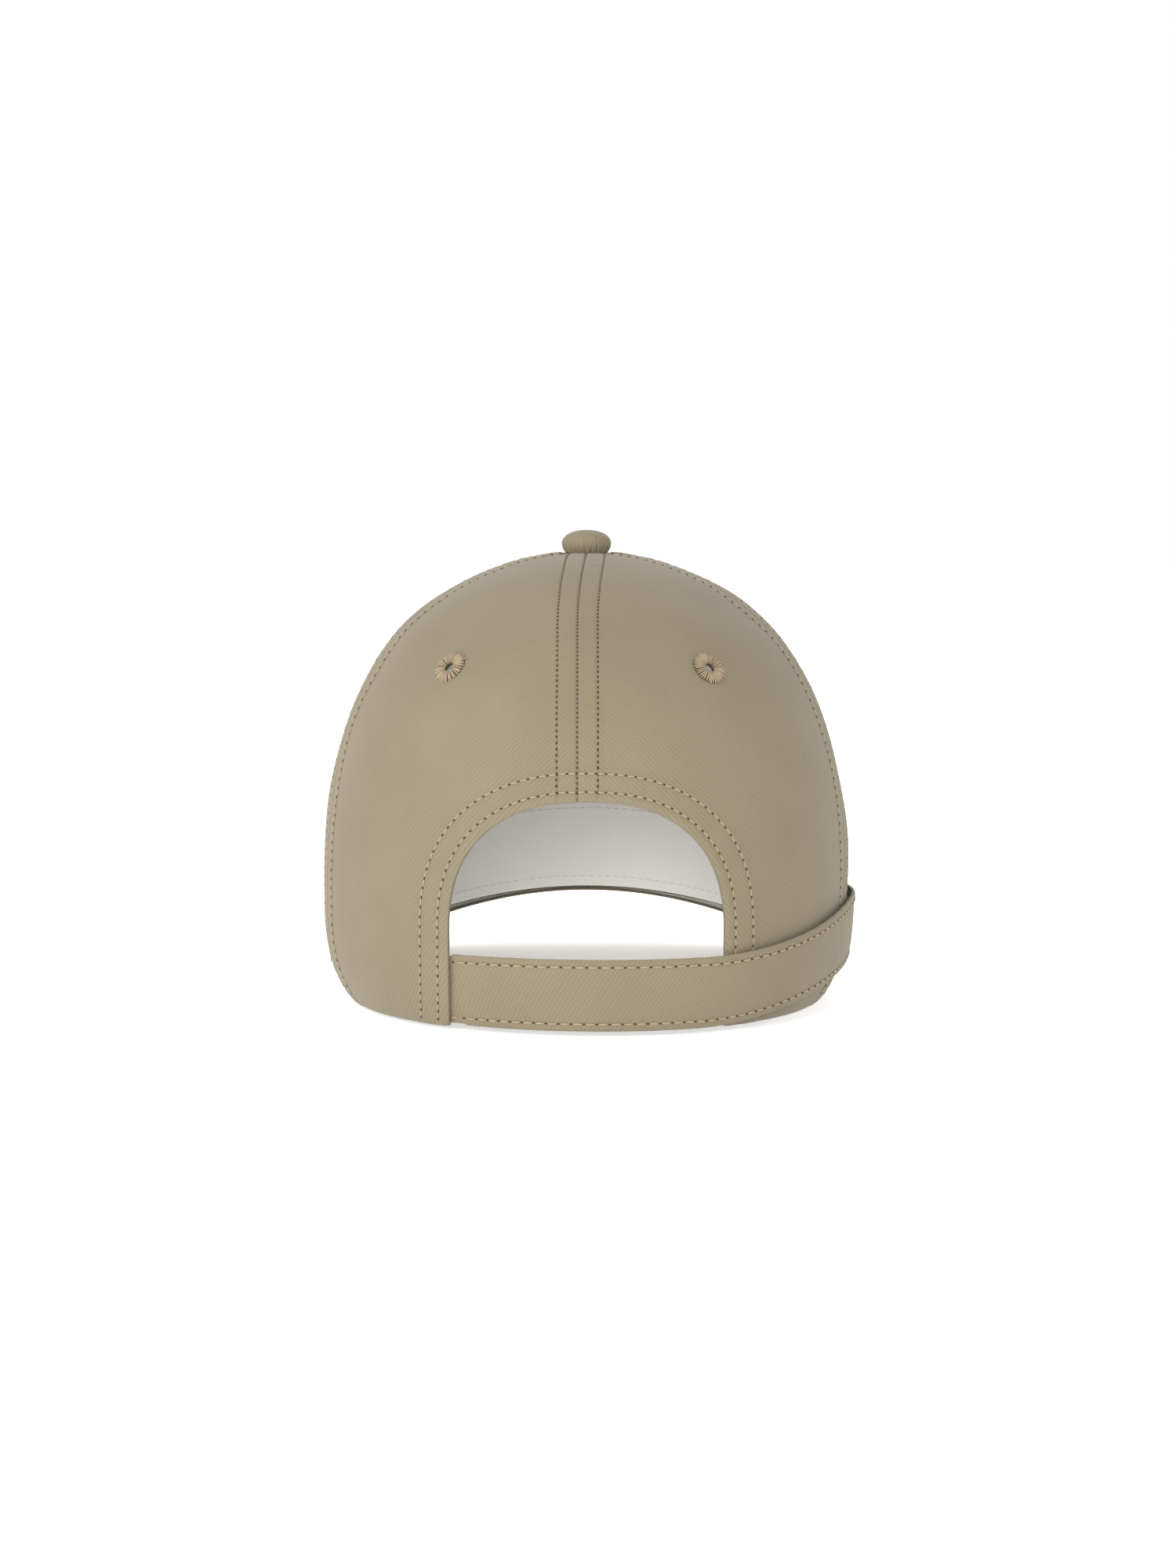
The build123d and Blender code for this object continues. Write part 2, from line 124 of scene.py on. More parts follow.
def crown(azimuth, level):
    """Points on the outside of the crown."""
    azimuth, level = np.broadcast_arrays(np.asarray(azimuth, float), np.asarray(level, float))
    angle = np.clip((level - WALL) / (1 - WALL), 0.0, 1.0) * np.pi / 2
    root = 2 / squareness(azimuth)
    low = level < WALL
    dome_height = WIDEST + (HEIGHT - WIDEST) * np.sin(angle) ** root
    height = np.where(low, WIDEST * level / WALL, dome_height)
    tuck = np.clip((WIDEST - height) / WIDEST, 0.0, 1.0) ** TUCK_POWER
    dome = np.cos(angle) ** root
    across = np.where(low, 1 - SIDE_TUCK * tuck, dome)
    along = np.where(low, 1 - END_TUCK * tuck, dome)
    turn = np.radians(azimuth)
    x, y = HALF_WIDTH * across * np.sin(turn), HALF_LENGTH * along * np.cos(turn)
    return np.stack((x, y, height), -1)


def unit(vectors):
    return vectors / np.maximum(np.linalg.norm(vectors, axis=-1, keepdims=True), 1e-9)


def outward(azimuth, level):
    """The crown's outward normals."""
    azimuth, level = np.asarray(azimuth, float), np.asarray(level, float)
    up = crown(azimuth, np.minimum(level + 0.002, 0.9999)) - crown(azimuth, level - 0.002)
    sideways = crown(azimuth + 0.2, level) - crown(azimuth - 0.2, level)
    return unit(np.cross(up, sideways))


def degrees_for(width, azimuth, level):
    """How many degrees of azimuth a width takes at a level."""
    azimuth = np.asarray(azimuth, float)
    step = crown(azimuth + 0.5, level) - crown(azimuth - 0.5, level)
    return width / np.linalg.norm(step, axis=-1)


# %% [markdown]
# ## Slack in the cloth
# Unstiffened cotton never lies as evenly as a formula. A few long, low waves, added to every
# layer alike, give the soft hollows that catch the light, and leave the rim and the button alone.
# The cloth also settles a little round the button, and the closed strap draws the right side in.
# %% Slow waves
rng = np.random.default_rng(11)
SETTLE, DRAW = 0.6, 0.9
WAVES = []
for length, height in ((75.0, 0.40), (52.0, 0.30), (38.0, 0.18), (27.0, 0.10)):
    heading = unit(rng.normal(size=3))
    WAVES.append((heading * 2 * np.pi / length, rng.uniform(0, 6.28), height))


def slack(spots):
    """Millimetres that the cloth stands in or out of the formula."""
    height = spots[..., 2]
    total = sum(rise * np.sin(spots @ heading + phase) for heading, phase, rise in WAVES)
    waves = total * ease((height - 38.0) / 40.0) * (1 - ease((height - 128.0) / 12.0))
    return waves - SETTLE * ease((height - 116.0) / 14.0) * (1 - ease((height - 140.0) / 4.5))


def drawn_in(azimuth, height):
    """How far the closed strap pulls the right side in, in millimetres."""
    turn = -turn_between(azimuth, 0.0)
    along = ease((turn - 50.0) / 30.0) * (1 - ease((turn - 104.0) / 14.0))
    return DRAW * along * np.exp(-((height - 24.0) / 15.0) ** 2)


def on_crown(azimuth, level, proud):
    """Points that stand proud of the crown, or sunk into it where proud is negative."""
    spots = crown(azimuth, level)
    shift = proud + slack(spots) - drawn_in(azimuth, spots[..., 2])
    return spots + outward(azimuth, level) * shift[..., None]


side_box, rear_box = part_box("side_left_panel"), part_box("rear_left_panel")
print("widest:", round(side_box[1].x / MM, 2), "mm in CAD,", HALF_WIDTH, "mm here")
print("highest:", round(rear_box[1].z / MM, 2), "mm in CAD, below", HEIGHT, "mm here")

# %% [markdown]
# ## Seams, visor line and arch
# Six seams run from the button to the rim. The one at the back drifts a little off centre below
# the button, as sewn seams do. In front the rim lifts to follow the visor's curve, and the arch at
# the back is a flattened round arch with straight legs.
# %% Lines on the crown
SEAMS = {"rear": 0.0, "left_side": 75.0, "left_front": 128.0, "front": 180.0,
         "right_front": 232.0, "right_side": 285.0}
GORES = {"rear_left": ("rear", "left_side"), "side_left": ("left_side", "left_front"),
         "front_left": ("left_front", "front"), "front_right": ("front", "right_front"),
         "side_right": ("right_front", "right_side"), "rear_right": ("right_side", "rear")}
REAR_DRIFT, SEAM_GAP = 2.8, 0.16
APEX = radius_level(0.0, 4.0)
ARCH_HALF, ARCH_TOP, ARCH_SPRING, ARCH_POWER = 42.5, 70.5, 30.0, 2.35
CORNER, REACH, CORNER_REACH, FULLNESS, SPLAY = 115.0, 69.0, 4.0, 3.2, 48.0
VISOR_ROUND, VISOR_SLOPE, COVER, BOARD, LAYER_GAP = 160.0, 0.06, 0.8, 1.8, 0.15
CLOTH, BUCKRAM, TAPE = 0.8, 0.6, 0.5


def seam_azimuth(name, level):
    level = np.asarray(level, float)
    if name != "rear":
        return SEAMS[name] + 0.0 * level
    return degrees_for(REAR_DRIFT * ease((1 - level) / 0.35), 0.0, level)


def visor_drop(x, y):
    """How far the visor's underside lies below its crest line."""
    return x * x / (2 * VISOR_ROUND) - VISOR_SLOPE * y


def visor_reach(azimuth):
    share = np.abs((azimuth - 180.0) / (180.0 - CORNER))
    return CORNER_REACH + (REACH - CORNER_REACH) * (1.0 - share ** FULLNESS)


def visor_plan(azimuth, out, height, trim=0.0):
    """Plan position on the visor: out is 0 at the crown and 1 at the edge."""
    level = height_level(azimuth, height)
    root = crown(azimuth, level) + outward(azimuth, level) * 0.2
    splay = np.radians(SPLAY) * (azimuth - 180.0) / (180.0 - CORNER)
    reach = (visor_reach(azimuth) - trim) * out
    return root[..., 0] - reach * np.sin(splay), root[..., 1] - reach * np.cos(splay)


CREST = float(visor_drop(*visor_plan(np.linspace(180.0, 245.0, 61), 1.0, 15.0)).max())


def rim_height(azimuth):
    """The rim is level behind and lifts to the visor in front."""
    spot = crown(azimuth, 0.0 * np.asarray(azimuth, float))
    lift = CREST - visor_drop(spot[..., 0], spot[..., 1]) + COVER
    return lift * ease((from_rear(azimuth) - 72.0) / (CORNER - 72.0))


def arch_spot(share, margin):
    """Azimuth and level beside the arch. share is 0 at its top and 1 or -1 at the rim."""
    share, margin = np.broadcast_arrays(np.asarray(share, float), np.asarray(margin, float))
    angle = np.pi / 2 * (1 - np.minimum(np.abs(share) / 0.8, 1.0))
    x = (ARCH_HALF + margin) * np.cos(angle) ** (2 / ARCH_POWER)
    z = ARCH_SPRING + (ARCH_TOP - ARCH_SPRING + margin) * np.sin(angle) ** (2 / ARCH_POWER)
    z = np.where(np.abs(share) > 0.8, ARCH_SPRING * (1 - np.abs(share)) / 0.2, z)
    level = height_level(0.0, z)
    wide = crown(90.0, level)[..., 0]
    return np.degrees(np.arcsin(x / wide)) * np.sign(share + 1e-12), level


def arch_margin(spots):
    """Distance from the arch's edge, as it is seen from behind."""
    x, z = np.abs(spots[..., 0]), spots[..., 2] - ARCH_SPRING
    low, high = np.zeros_like(x) - 5.0, np.zeros_like(x) + 120.0
    for _ in range(24):
        middle = (low + high) / 2
        wide, tall = ARCH_HALF + middle, ARCH_TOP - ARCH_SPRING + middle
        outside = (x / wide) ** ARCH_POWER + (np.maximum(z, 0) / tall) ** ARCH_POWER > 1
        low, high = np.where(outside, middle, low), np.where(outside, high, middle)
    return low


print("crest line", round(CREST, 2), "mm; rim in front", round(float(rim_height(180.0)), 2), "mm")

# %% [markdown]
# ## From a flat grid to cloth
# A piece of cloth starts as a flat grid, as it would on the cutting table, and a place function
# carries each point of it onto the cap. The grid is crowded towards its edges, where the folds
# and stitch channels are. Its UV map is the flat cloth itself in millimetres, so a weave drawn on
# it keeps its size and follows the piece.
# %% Grid, thickness and riding


def crowd(share, pull=0.75):
    """Move the inner points of a row towards its two ends."""
    return share - pull * np.sin(2 * np.pi * share) / (2 * np.pi)


def finish_piece(bm, name, material, body, nodes=()):
    """Turn a bmesh in millimetres into an object in metres that rides on a body."""
    bmesh.ops.scale(bm, vec=(MM, MM, MM), verts=bm.verts)
    mesh = bpy.data.meshes.new(name)
    bm.to_mesh(mesh)
    bm.free()
    mesh.materials.append(material)
    mesh.shade_smooth()
    piece = bpy.data.objects.new(name, mesh)
    bpy.context.collection.objects.link(piece)
    if body:
        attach(piece, body)
    if nodes:
        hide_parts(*nodes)
    return piece


def grid_of_cloth(columns, rows, place, inside=(0, 0, 50)):
    """A grid whose place function gives points and flat positions, facing away from inside."""
    bm = bmesh.new()
    bmesh.ops.create_grid(bm, x_segments=columns, y_segments=rows, size=0.5)
    flat = bm.loops.layers.uv.new("cloth")
    shares = np.array([vert.co[:2] for vert in bm.verts]) + 0.5
    spots, weave = place(shares[:, 0], shares[:, 1])
    bm.verts.index_update()
    for vert, spot in zip(bm.verts, spots):
        vert.co = spot
    for face in bm.faces:
        for loop in face.loops:
            loop[flat].uv = weave[loop.vert.index]
    bm.normal_update()
    middle = max(bm.faces, key=lambda face: face.calc_area())
    if middle.normal.dot(middle.calc_center_median() - Vector(inside)) < 0:
        bmesh.ops.reverse_faces(bm, faces=bm.faces)
    return bm


def thicken(piece, thickness, bevel=0.0):
    """Give a sheet its thickness inwards, and a folded edge where bevel is set."""
    solid = piece.modifiers.new("thickness", "SOLIDIFY")
    solid.thickness = thickness * MM
    solid.offset = -1.0
    if bevel:
        edge = piece.modifiers.new("folded edge", "BEVEL")
        edge.width = bevel * MM
        edge.segments = 3
        edge.limit_method = "ANGLE"
        edge.angle_limit = math.radians(60)
    return piece


def bake(piece):
    """Make the modifiers' result the piece's own mesh."""
    bpy.context.view_layer.update()
    result = piece.evaluated_get(bpy.context.evaluated_depsgraph_get())
    piece.data = bpy.data.meshes.new_from_object(result)
    piece.modifiers.clear()
    return piece


# %% [markdown]
# ## Colour and nodes
# Colours are written as the hex values a dyer's card would give, and one function turns them into
# the linear light that Blender mixes. One more adds a node with its settings and links.
# %% Colour and node helpers


def linear(hexcode):
    """An sRGB hex colour as linear red, green, blue and alpha."""
    channels = [int(hexcode[i:i + 2], 16) / 255 for i in (1, 3, 5)]
    curve = [c / 12.92 if c <= 0.04045 else ((c + 0.055) / 1.055) ** 2.4 for c in channels]
    return (*curve, 1.0)


def add(tree, kind, links=None, **settings):
    """Add a node. settings are its properties; links go to its inputs, as sockets or values."""
    node = tree.nodes.new(kind)
    for name, value in settings.items():
        setattr(node, name, value)
    for name, source in (links or {}).items():
        if isinstance(source, bpy.types.NodeSocket):
            tree.links.new(source, node.inputs[name])
        else:
            node.inputs[name].default_value = source
    return node


def new_finish(name, roughness, sheen=0.0):
    """A material with its shader and output. Constants go straight on the shader's sockets."""
    material = bpy.data.materials.new(name)
    material.use_nodes = True
    tree = material.node_tree
    tree.nodes.clear()
    shader = add(tree, "ShaderNodeBsdfPrincipled", {"Roughness": roughness, "Sheen Weight": sheen,
                 "Sheen Roughness": 0.45, "Specular IOR Level": 0.25})
    add(tree, "ShaderNodeOutputMaterial", {"Surface": shader.outputs[0]})
    return material, tree, shader


# the Mix node keeps its colour sockets after its number sockets
MIX_A, MIX_B, MIXED = 6, 7, 2


def dress(tree, shader, grain, shade, dark, strength, depth):
    """Let one pattern choose between two shades and raise the surface, depth in millimetres."""
    tint = add(tree, "ShaderNodeMix", {0: grain, MIX_A: linear(dark), MIX_B: linear(shade)},
               data_type="RGBA")
    bump = add(tree, "ShaderNodeBump", {"Height": grain, "Strength": strength,
               "Distance": depth * MM})
    tree.links.new(tint.outputs[MIXED], shader.inputs["Base Color"])
    tree.links.new(bump.outputs[0], shader.inputs["Normal"])


# %% [markdown]
# ## Cotton twill
# The outer cloth is a fine cotton twill. Its weave steps over by one yarn at a time, so it shows
# slanting ribs with a faint sheen. Real ribs are about 0.5 mm apart; they are drawn 1.3 mm apart
# here, because finer ones would blur away. The yarns are uneven, so the ribs wander and the colour
# drifts slightly. The left and right panels are cut as mirror images, and so are their ribs.
# %% Twill
RIB = 1.3


def woven(name, shade, dark, slant, ribs=0.5, pitch=RIB, depth=0.06, sheen=0.12, drift=0.10):
    """Slanting ribs on the flat cloth's millimetres. slant turns the ribs, in degrees."""
    material, tree, shader = new_finish(name, 0.86, sheen)
    flat = add(tree, "ShaderNodeUVMap", uv_map="cloth")
    lean = add(tree, "ShaderNodeMapping", {"Vector": flat.outputs[0],
               "Rotation": (0, 0, math.radians(slant))})
    axes = add(tree, "ShaderNodeSeparateXYZ", {0: lean.outputs[0]})
    wander = add(tree, "ShaderNodeTexNoise", {"Vector": flat.outputs[0], "Scale": 0.35,
                 "Detail": 3.0})
    shifted = add(tree, "ShaderNodeMath", {0: wander.outputs[0], 1: 1.3, 2: axes.outputs["X"]},
                  operation="MULTIPLY_ADD")
    phase = add(tree, "ShaderNodeMath", {0: shifted.outputs[0], 1: 2 * math.pi / pitch},
                operation="MULTIPLY")
    wave = add(tree, "ShaderNodeMath", {0: phase.outputs[0]}, operation="SINE")
    step = add(tree, "ShaderNodeMapping", {"Vector": flat.outputs[0], "Scale": (3.4, 0.9, 1)})
    yarn = add(tree, "ShaderNodeTexNoise", {"Vector": step.outputs[0], "Scale": 1.0,
               "Detail": 2.0})
    rib = add(tree, "ShaderNodeMapRange", {"Value": wave.outputs[0], "From Min": -1.0,
              "To Min": 0.5 - ribs / 2, "To Max": 0.5 + ribs / 2})
    both = add(tree, "ShaderNodeMath", {0: yarn.outputs[0], 1: 0.5, 2: rib.outputs[0]},
               operation="MULTIPLY_ADD")
    tone = add(tree, "ShaderNodeMath", {0: both.outputs[0], 1: 0.25}, operation="SUBTRACT")
    cloth = add(tree, "ShaderNodeMix", {0: tone.outputs[0], MIX_A: linear(dark),
                MIX_B: linear(shade)}, data_type="RGBA")
    place = add(tree, "ShaderNodeTexCoord")
    cloud = add(tree, "ShaderNodeTexNoise", {"Vector": place.outputs["Object"], "Scale": 30.0,
                "Detail": 4.0, "Roughness": 0.6})
    worn = add(tree, "ShaderNodeMapRange", {"Value": cloud.outputs[0], "From Min": 0.3,
               "From Max": 0.7, "To Min": 1 - drift / 2, "To Max": 1 + drift / 2})
    dyed = add(tree, "ShaderNodeVectorMath", {0: cloth.outputs[MIXED], "Scale": worn.outputs[0]},
               operation="SCALE")
    bump = add(tree, "ShaderNodeBump", {"Height": both.outputs[0], "Strength": 0.5,
               "Distance": depth * MM})
    tree.links.new(dyed.outputs[0], shader.inputs["Base Color"])
    tree.links.new(bump.outputs[0], shader.inputs["Normal"])
    return material


twill = woven("Cotton twill", "#817762", "#716854", -42)
twill_strap = woven("Cotton twill, cut lengthwise", "#817762", "#716854", 35)
band_cotton = woven("Brushed cotton, sweatband", "#FCFBF8", "#F3F1EB", 40, 0.4, 1.3, 0.05, 0.2,
                    0.03)
tape_cotton = woven("Woven cotton tape", "#8F8570", "#756B57", 55, 0.7, 1.6, 0.08)
print("ribs", RIB, "mm apart, so", round(2 * HALF_WIDTH / RIB), "across the cap")

# %% [markdown]
# ## Thread, buckram, label, hook and loop, steel
# Sewing thread is two plies of spun polyester twisted together. It's smoother than the cloth and
# a shade lighter, so the rows show. Eyelets are embroidered with the same kind of thread, dyed
# warmer. Buckram is a stiffened open weave, the label is satin, and the fastener is nylon.
# %% Small finishes


def fine_noise(name, shade, dark, scale_mm, roughness, depth, sheen=0.0, kind="ShaderNodeTexNoise",
               metallic=0.0):
    """A finish whose grain is a noise or a cell pattern of one size in millimetres."""
    material, tree, shader = new_finish(name, roughness, sheen)
    place = add(tree, "ShaderNodeTexCoord")
    grain = add(tree, kind, {"Vector": place.outputs["Object"], "Scale": 1000.0 / scale_mm})
    shader.inputs["Metallic"].default_value = metallic
    dress(tree, shader, grain.outputs[0], shade, dark, 0.6, depth)
    return material


def crossed(name, shade, dark, pitch, depth):
    """A plain weave: yarns that cross at right angles, a pitch apart in millimetres."""
    material, tree, shader = new_finish(name, 0.9)
    flat = add(tree, "ShaderNodeUVMap", uv_map="cloth")
    scaled = add(tree, "ShaderNodeVectorMath", {0: flat.outputs[0], "Scale": 2 * math.pi / pitch},
                 operation="SCALE")
    axes = add(tree, "ShaderNodeSeparateXYZ", {0: scaled.outputs[0]})
    across = add(tree, "ShaderNodeMath", {0: axes.outputs["X"]}, operation="SINE")
    along = add(tree, "ShaderNodeMath", {0: axes.outputs["Y"]}, operation="SINE")
    higher = add(tree, "ShaderNodeMath", {0: across.outputs[0], 1: along.outputs[0]},
                 operation="MAXIMUM")
    yarn = add(tree, "ShaderNodeMapRange", {"Value": higher.outputs[0], "From Min": -0.6})
    dress(tree, shader, yarn.outputs[0], shade, dark, 0.7, depth)
    return material


thread = fine_noise("Spun polyester thread", "#A29175", "#89795D", 0.5, 0.6, 0.05, 0.15)
seam_thread = fine_noise("Spun polyester thread, fine", "#857A62", "#6E634D", 0.5, 0.7, 0.05)
# This dark colour is painted shade in the needle holes between stitches.
needle_hole_shade = fine_noise("Painted shade in the needle holes", "#43372A", "#30271D", 0.5, 0.8, 0.05)
eyelet_thread = fine_noise("Embroidery thread", "#A38F74", "#82725A", 0.45, 0.5, 0.05, 0.2)
# The underlay's dark colour is painted shade in the eyelets' stitch gaps and holes.
eyelet_underlay_shade = fine_noise("Embroidery underlay, painted shade", "#594937", "#3E3226", 0.45, 0.7, 0.05)
pale_thread = fine_noise("Spun polyester thread, pale", "#F4F3EE", "#E6E4DC", 0.5, 0.6, 0.05)
buckram = crossed("Stiffened cotton buckram", "#FAF9F5", "#D8D6CE", 1.5, 0.15)
satin = crossed("Woven satin label", "#F3F2EE", "#DEDCD5", 0.5, 0.03)
hooks = fine_noise("Moulded nylon hooks", "#7C725C", "#474034", 1.1, 0.45, 0.5, 0.0,
                   "ShaderNodeTexVoronoi")
pile = fine_noise("Brushed loop pile", "#7E745E", "#544C3B", 0.7, 0.95, 0.4, 0.4)
steel = fine_noise("Zinc-plated steel", "#C9C9C6", "#A8A8A6", 0.8, 0.32, 0.01, metallic=1.0)
board_plastic = fine_noise("Moulded polyethylene", "#DADAD4", "#CFCFC8", 0.6, 0.5, 0.02)

# %% [markdown]
# ## Crown panels
# Each gore is cut from the twill with its grain up its middle. Where two gores join, the seam
# sinks, and the turned allowances under the cloth raise a low ridge as far as the topstitching,
# which pulls a shallow channel of its own. Between the seam and its topstitching the cloth
# puckers a little. Those few tenths of a millimetre are what makes a surface look sewn, so they
# are real relief in the mesh, not only bump.
# %% Relief beside a seam
ROW_OFFSET = 6.3
ARCH_ROWS = (3.0, 8.5)
SEAM_WALK = 190      # millimetres along a seam from the rim's level to the apex


def channel(distance, depth, width=0.55):
    """A stitch row's channel."""
    return -depth * np.exp(-(distance / width) ** 2)


def seam_relief(distance, walk, raised):
    """Sunk join, raised allowance, stitch channel and puckers, by distance and by walk along."""
    join = channel(distance, 0.42, 0.45)
    ridge = 0.28 * raised * (1 - ease((distance - ROW_OFFSET - 0.3) / 1.5))
    near = np.exp(-((distance - 3.4) / 3.0) ** 2)
    pucker = 0.07 * near * np.sin(walk * 2 * np.pi / 5.1 + 2.5 * np.sin(walk / 17.0))
    return join + ridge + pucker + channel(distance - ROW_OFFSET, 0.26)


def arch_relief(margin, walk):
    """The arch's turned edge, with its facing under it and two rows of stitches."""
    edge = channel(margin, 0.5, 0.8)
    ridge = 0.3 * (1 - ease((margin - ARCH_ROWS[1] - 0.5) / 1.6))
    near = np.exp(-((margin - 5.8) / 2.6) ** 2)
    pucker = 0.08 * near * np.sin(walk * 2 * np.pi / 5.7 + 2.0 * np.sin(walk / 13.0))
    rows = sum(channel(margin - row, 0.2) for row in ARCH_ROWS)
    return edge + ridge + pucker + rows


def panel_relief(azimuth, level, seams, rear):
    """Relief of a whole panel."""
    spots = crown(azimuth, level)
    wide = 1 / degrees_for(1.0, azimuth, level)
    total = np.zeros_like(azimuth)
    raised = 1 - 0.7 * ease((spots[..., 2] - 118.0) / 18.0)
    for seam in seams:
        distance = np.abs(turn_between(azimuth, seam_azimuth(seam, level))) * wide
        total += seam_relief(distance, level * SEAM_WALK, raised)
    if rear:
        walk = np.arctan2(spots[..., 2] - 20, np.abs(spots[..., 0])) * 55
        total += arch_relief(np.maximum(arch_margin(spots), 0), walk)
    above = spots[..., 2] - rim_height(azimuth)
    return total + channel(above, 0.45, 0.8)


# %% Where a gore's points go


def gore(left, right, along, up, low=0.0, top=APEX, inset=SEAM_GAP / 2):
    """Azimuths and levels between two seams, from a height above the rim to a level."""
    first, last = SEAMS[left], SEAMS[right] or 360.0
    azimuth = first + (last - first) * along
    for _ in range(3):
        start = height_level(azimuth, rim_height(azimuth) + low)
        level = start + (top - start) * up
        trim = degrees_for(inset, (first + last) / 2, level)
        azimuth = first + trim + (last - first - 2 * trim) * along
    return azimuth, level


def flat_line(azimuth, level):
    """A line on the crown, seen as if the dome were pressed flat, with its walked shares."""
    reach = 1 - level
    line = np.stack((reach * np.sin(np.radians(azimuth)), reach * np.cos(np.radians(azimuth))), -1)
    steps = np.linalg.norm(np.diff(line, axis=0), axis=1)
    walked = np.concatenate(([0.0], np.cumsum(steps)))
    return walked / walked[-1], line


def along_line(line, share):
    walked, spots = line
    return np.stack([np.interp(share, walked, spots[:, k]) for k in (0, 1)], -1)


def rear_gore(side, across, down):
    """A rear panel's points: across runs from arch to side seam, down from the apex to the rim."""
    gap = side * SEAM_GAP / 2
    share = np.linspace(0.0, 1.0, 300)
    full = np.linspace(-0.7, 1.0, 900) * side
    azimuth, level = arch_spot(full, 0.0)
    seam = seam_azimuth("rear", level) + degrees_for(gap, 0.0, level)
    keep = (azimuth - seam) * side > 0.02
    top_level = height_level(0.0, ARCH_TOP)
    top_azimuth = seam_azimuth("rear", top_level) + degrees_for(gap, 0.0, top_level)
    arch = flat_line(np.append(top_azimuth, azimuth[keep]), np.append(top_level, level[keep]))
    foot = azimuth[keep][-1]
    side_azimuth = side * (SEAMS["left_side"] - degrees_for(SEAM_GAP / 2, 75.0, 0.5))
    rim_azimuth = foot + (side_azimuth - foot) * share
    rim = flat_line(rim_azimuth, height_level(rim_azimuth, rim_height(rim_azimuth)))
    rear_level = top_level + (APEX - top_level) * share
    rear_line = seam_azimuth("rear", rear_level) + degrees_for(gap, 0.0, rear_level)
    hole = np.linspace(rear_line[-1], side_azimuth, 41)
    rear = flat_line(np.append(rear_line, hole[1:21]), np.append(rear_level, [APEX] * 20))
    low = height_level(side_azimuth, rim_height(side_azimuth))
    side_level = APEX + (low - APEX) * share
    seam_side = flat_line(np.append(hole[20:40], side_azimuth + 0 * share),
                          np.append([APEX] * 20, side_level))
    a, b = across[:, None], down[:, None]
    ruled = (1 - a) * along_line(arch, down) + a * along_line(seam_side, down)
    ruled += (1 - b) * along_line(rear, across) + b * along_line(rim, across)
    corners = ((1 - b) * ((1 - a) * arch[1][0] + a * seam_side[1][0])
               + b * ((1 - a) * arch[1][-1] + a * seam_side[1][-1]))
    spot = ruled - corners
    return np.degrees(np.arctan2(spot[:, 0], spot[:, 1])), 1 - np.linalg.norm(spot, axis=-1)


def flat_cloth(azimuth, level, middle, mirrored=1):
    """Where crown points lie on the uncut cloth, in millimetres, with the grain up the middle."""
    levels = np.linspace(0.0, 1.0, 400)
    path = crown(middle, levels)
    walked = np.append(0.0, np.cumsum(np.linalg.norm(np.diff(path, axis=0), axis=1)))
    across = turn_between(azimuth, middle) / degrees_for(1.0, middle, level)
    return np.stack((across * mirrored, np.interp(level, levels, walked)), -1)


# %% Eyelet places, which the panels leave open
rear_middle = float(seam_azimuth("rear", height_level(0.0, 110.0)))
EYELETS = {"rear_left": (rear_middle + 35.9, 110.0), "side_left": (101.5, 110.0),
           "front_left": (154.0, 113.0), "front_right": (206.0, 113.0),
           "side_right": (258.5, 110.0), "rear_right": (rear_middle - 35.9, 110.0)}


def eyelet_spot(name):
    """Centre and outward direction of an eyelet."""
    azimuth, height = EYELETS[name]
    level = height_level(azimuth, height)
    return on_crown(azimuth, level, np.array(0.0)), outward(azimuth, level)


def punch(bm, name, radius):
    """Open a grid round an eyelet's centre."""
    centre = Vector(eyelet_spot(name)[0])
    gone = [face for face in bm.faces
            if (face.calc_center_median() - centre).length < radius]
    bmesh.ops.delete(bm, geom=gone, context="FACES")
    return len(gone)


# %% Sew the six panels
FINE = 1.0
PANEL_OPENING, LINING_OPENING = 3.6, 3.2


def crown_panel(name):
    left, right = GORES[name]
    rear = name.startswith("rear")
    side = 1 if name.endswith("left") else -1
    middle = ((SEAMS[left] + (SEAMS[right] or 360.0)) / 2) % 360

    def place(along, up):
        if rear:
            azimuth, level = rear_gore(side, crowd(along), crowd(up, 0.5))
        else:
            azimuth, level = gore(left, right, crowd(along), crowd(up, 0.6))
        proud = panel_relief(azimuth, level, (left, right), rear)
        return on_crown(azimuth, level, proud), flat_cloth(azimuth, level, middle, side)

    bm = grid_of_cloth(int(120 * FINE), int(230 * FINE), place)
    opened = punch(bm, name, PANEL_OPENING)
    piece = finish_piece(bm, name + "_twill", twill, "crown", [name + "_panel"])
    print(name, "panel:", len(piece.data.polygons), "faces,", opened, "opened for the eyelet")
    return thicken(piece, CLOTH)


for gore_name in GORES:
    crown_panel(gore_name)

# %% [markdown]
# ## Stitches
# A machine stitch is a short length of thread that comes up out of the cloth, lies on it and goes
# down again. Each one here is a small stretched sphere, sunk at its ends, laid end to end along a
# row, and a small dark grain between each two is painted shade in the needle hole. There are
# thousands, so each has only a few dozen faces, and a row's stitches are one mesh.
# %% A row of stitches


def evenly(azimuth, level, proud, pitch):
    """Middles, directions and outward normals of stitches spaced evenly along a crown line."""
    path = on_crown(azimuth, level, np.zeros_like(level) + proud)
    return spaced(path, outward(azimuth, level), pitch)


def spaced(path, normals, pitch):
    """The same along any path of points, with the step that fits a whole number of stitches."""
    walked = np.append(0.0, np.cumsum(np.linalg.norm(np.diff(path, axis=0), axis=1)))
    count = max(int(walked[-1] / pitch), 1)
    step = walked[-1] / count
    marks = (np.arange(count) + 0.5) * step

    def at(values, shift=0.0):
        return np.stack([np.interp(marks + shift, walked, values[:, k]) for k in range(3)], -1)

    return at(path), unit(at(path, step / 4) - at(path, -step / 4)), unit(at(normals)), step


def merge(bm, other):
    """Move another bmesh's faces into this one."""
    mesh = bpy.data.meshes.new("part")
    other.to_mesh(mesh)
    other.free()
    bm.from_mesh(mesh)
    bpy.data.meshes.remove(mesh)


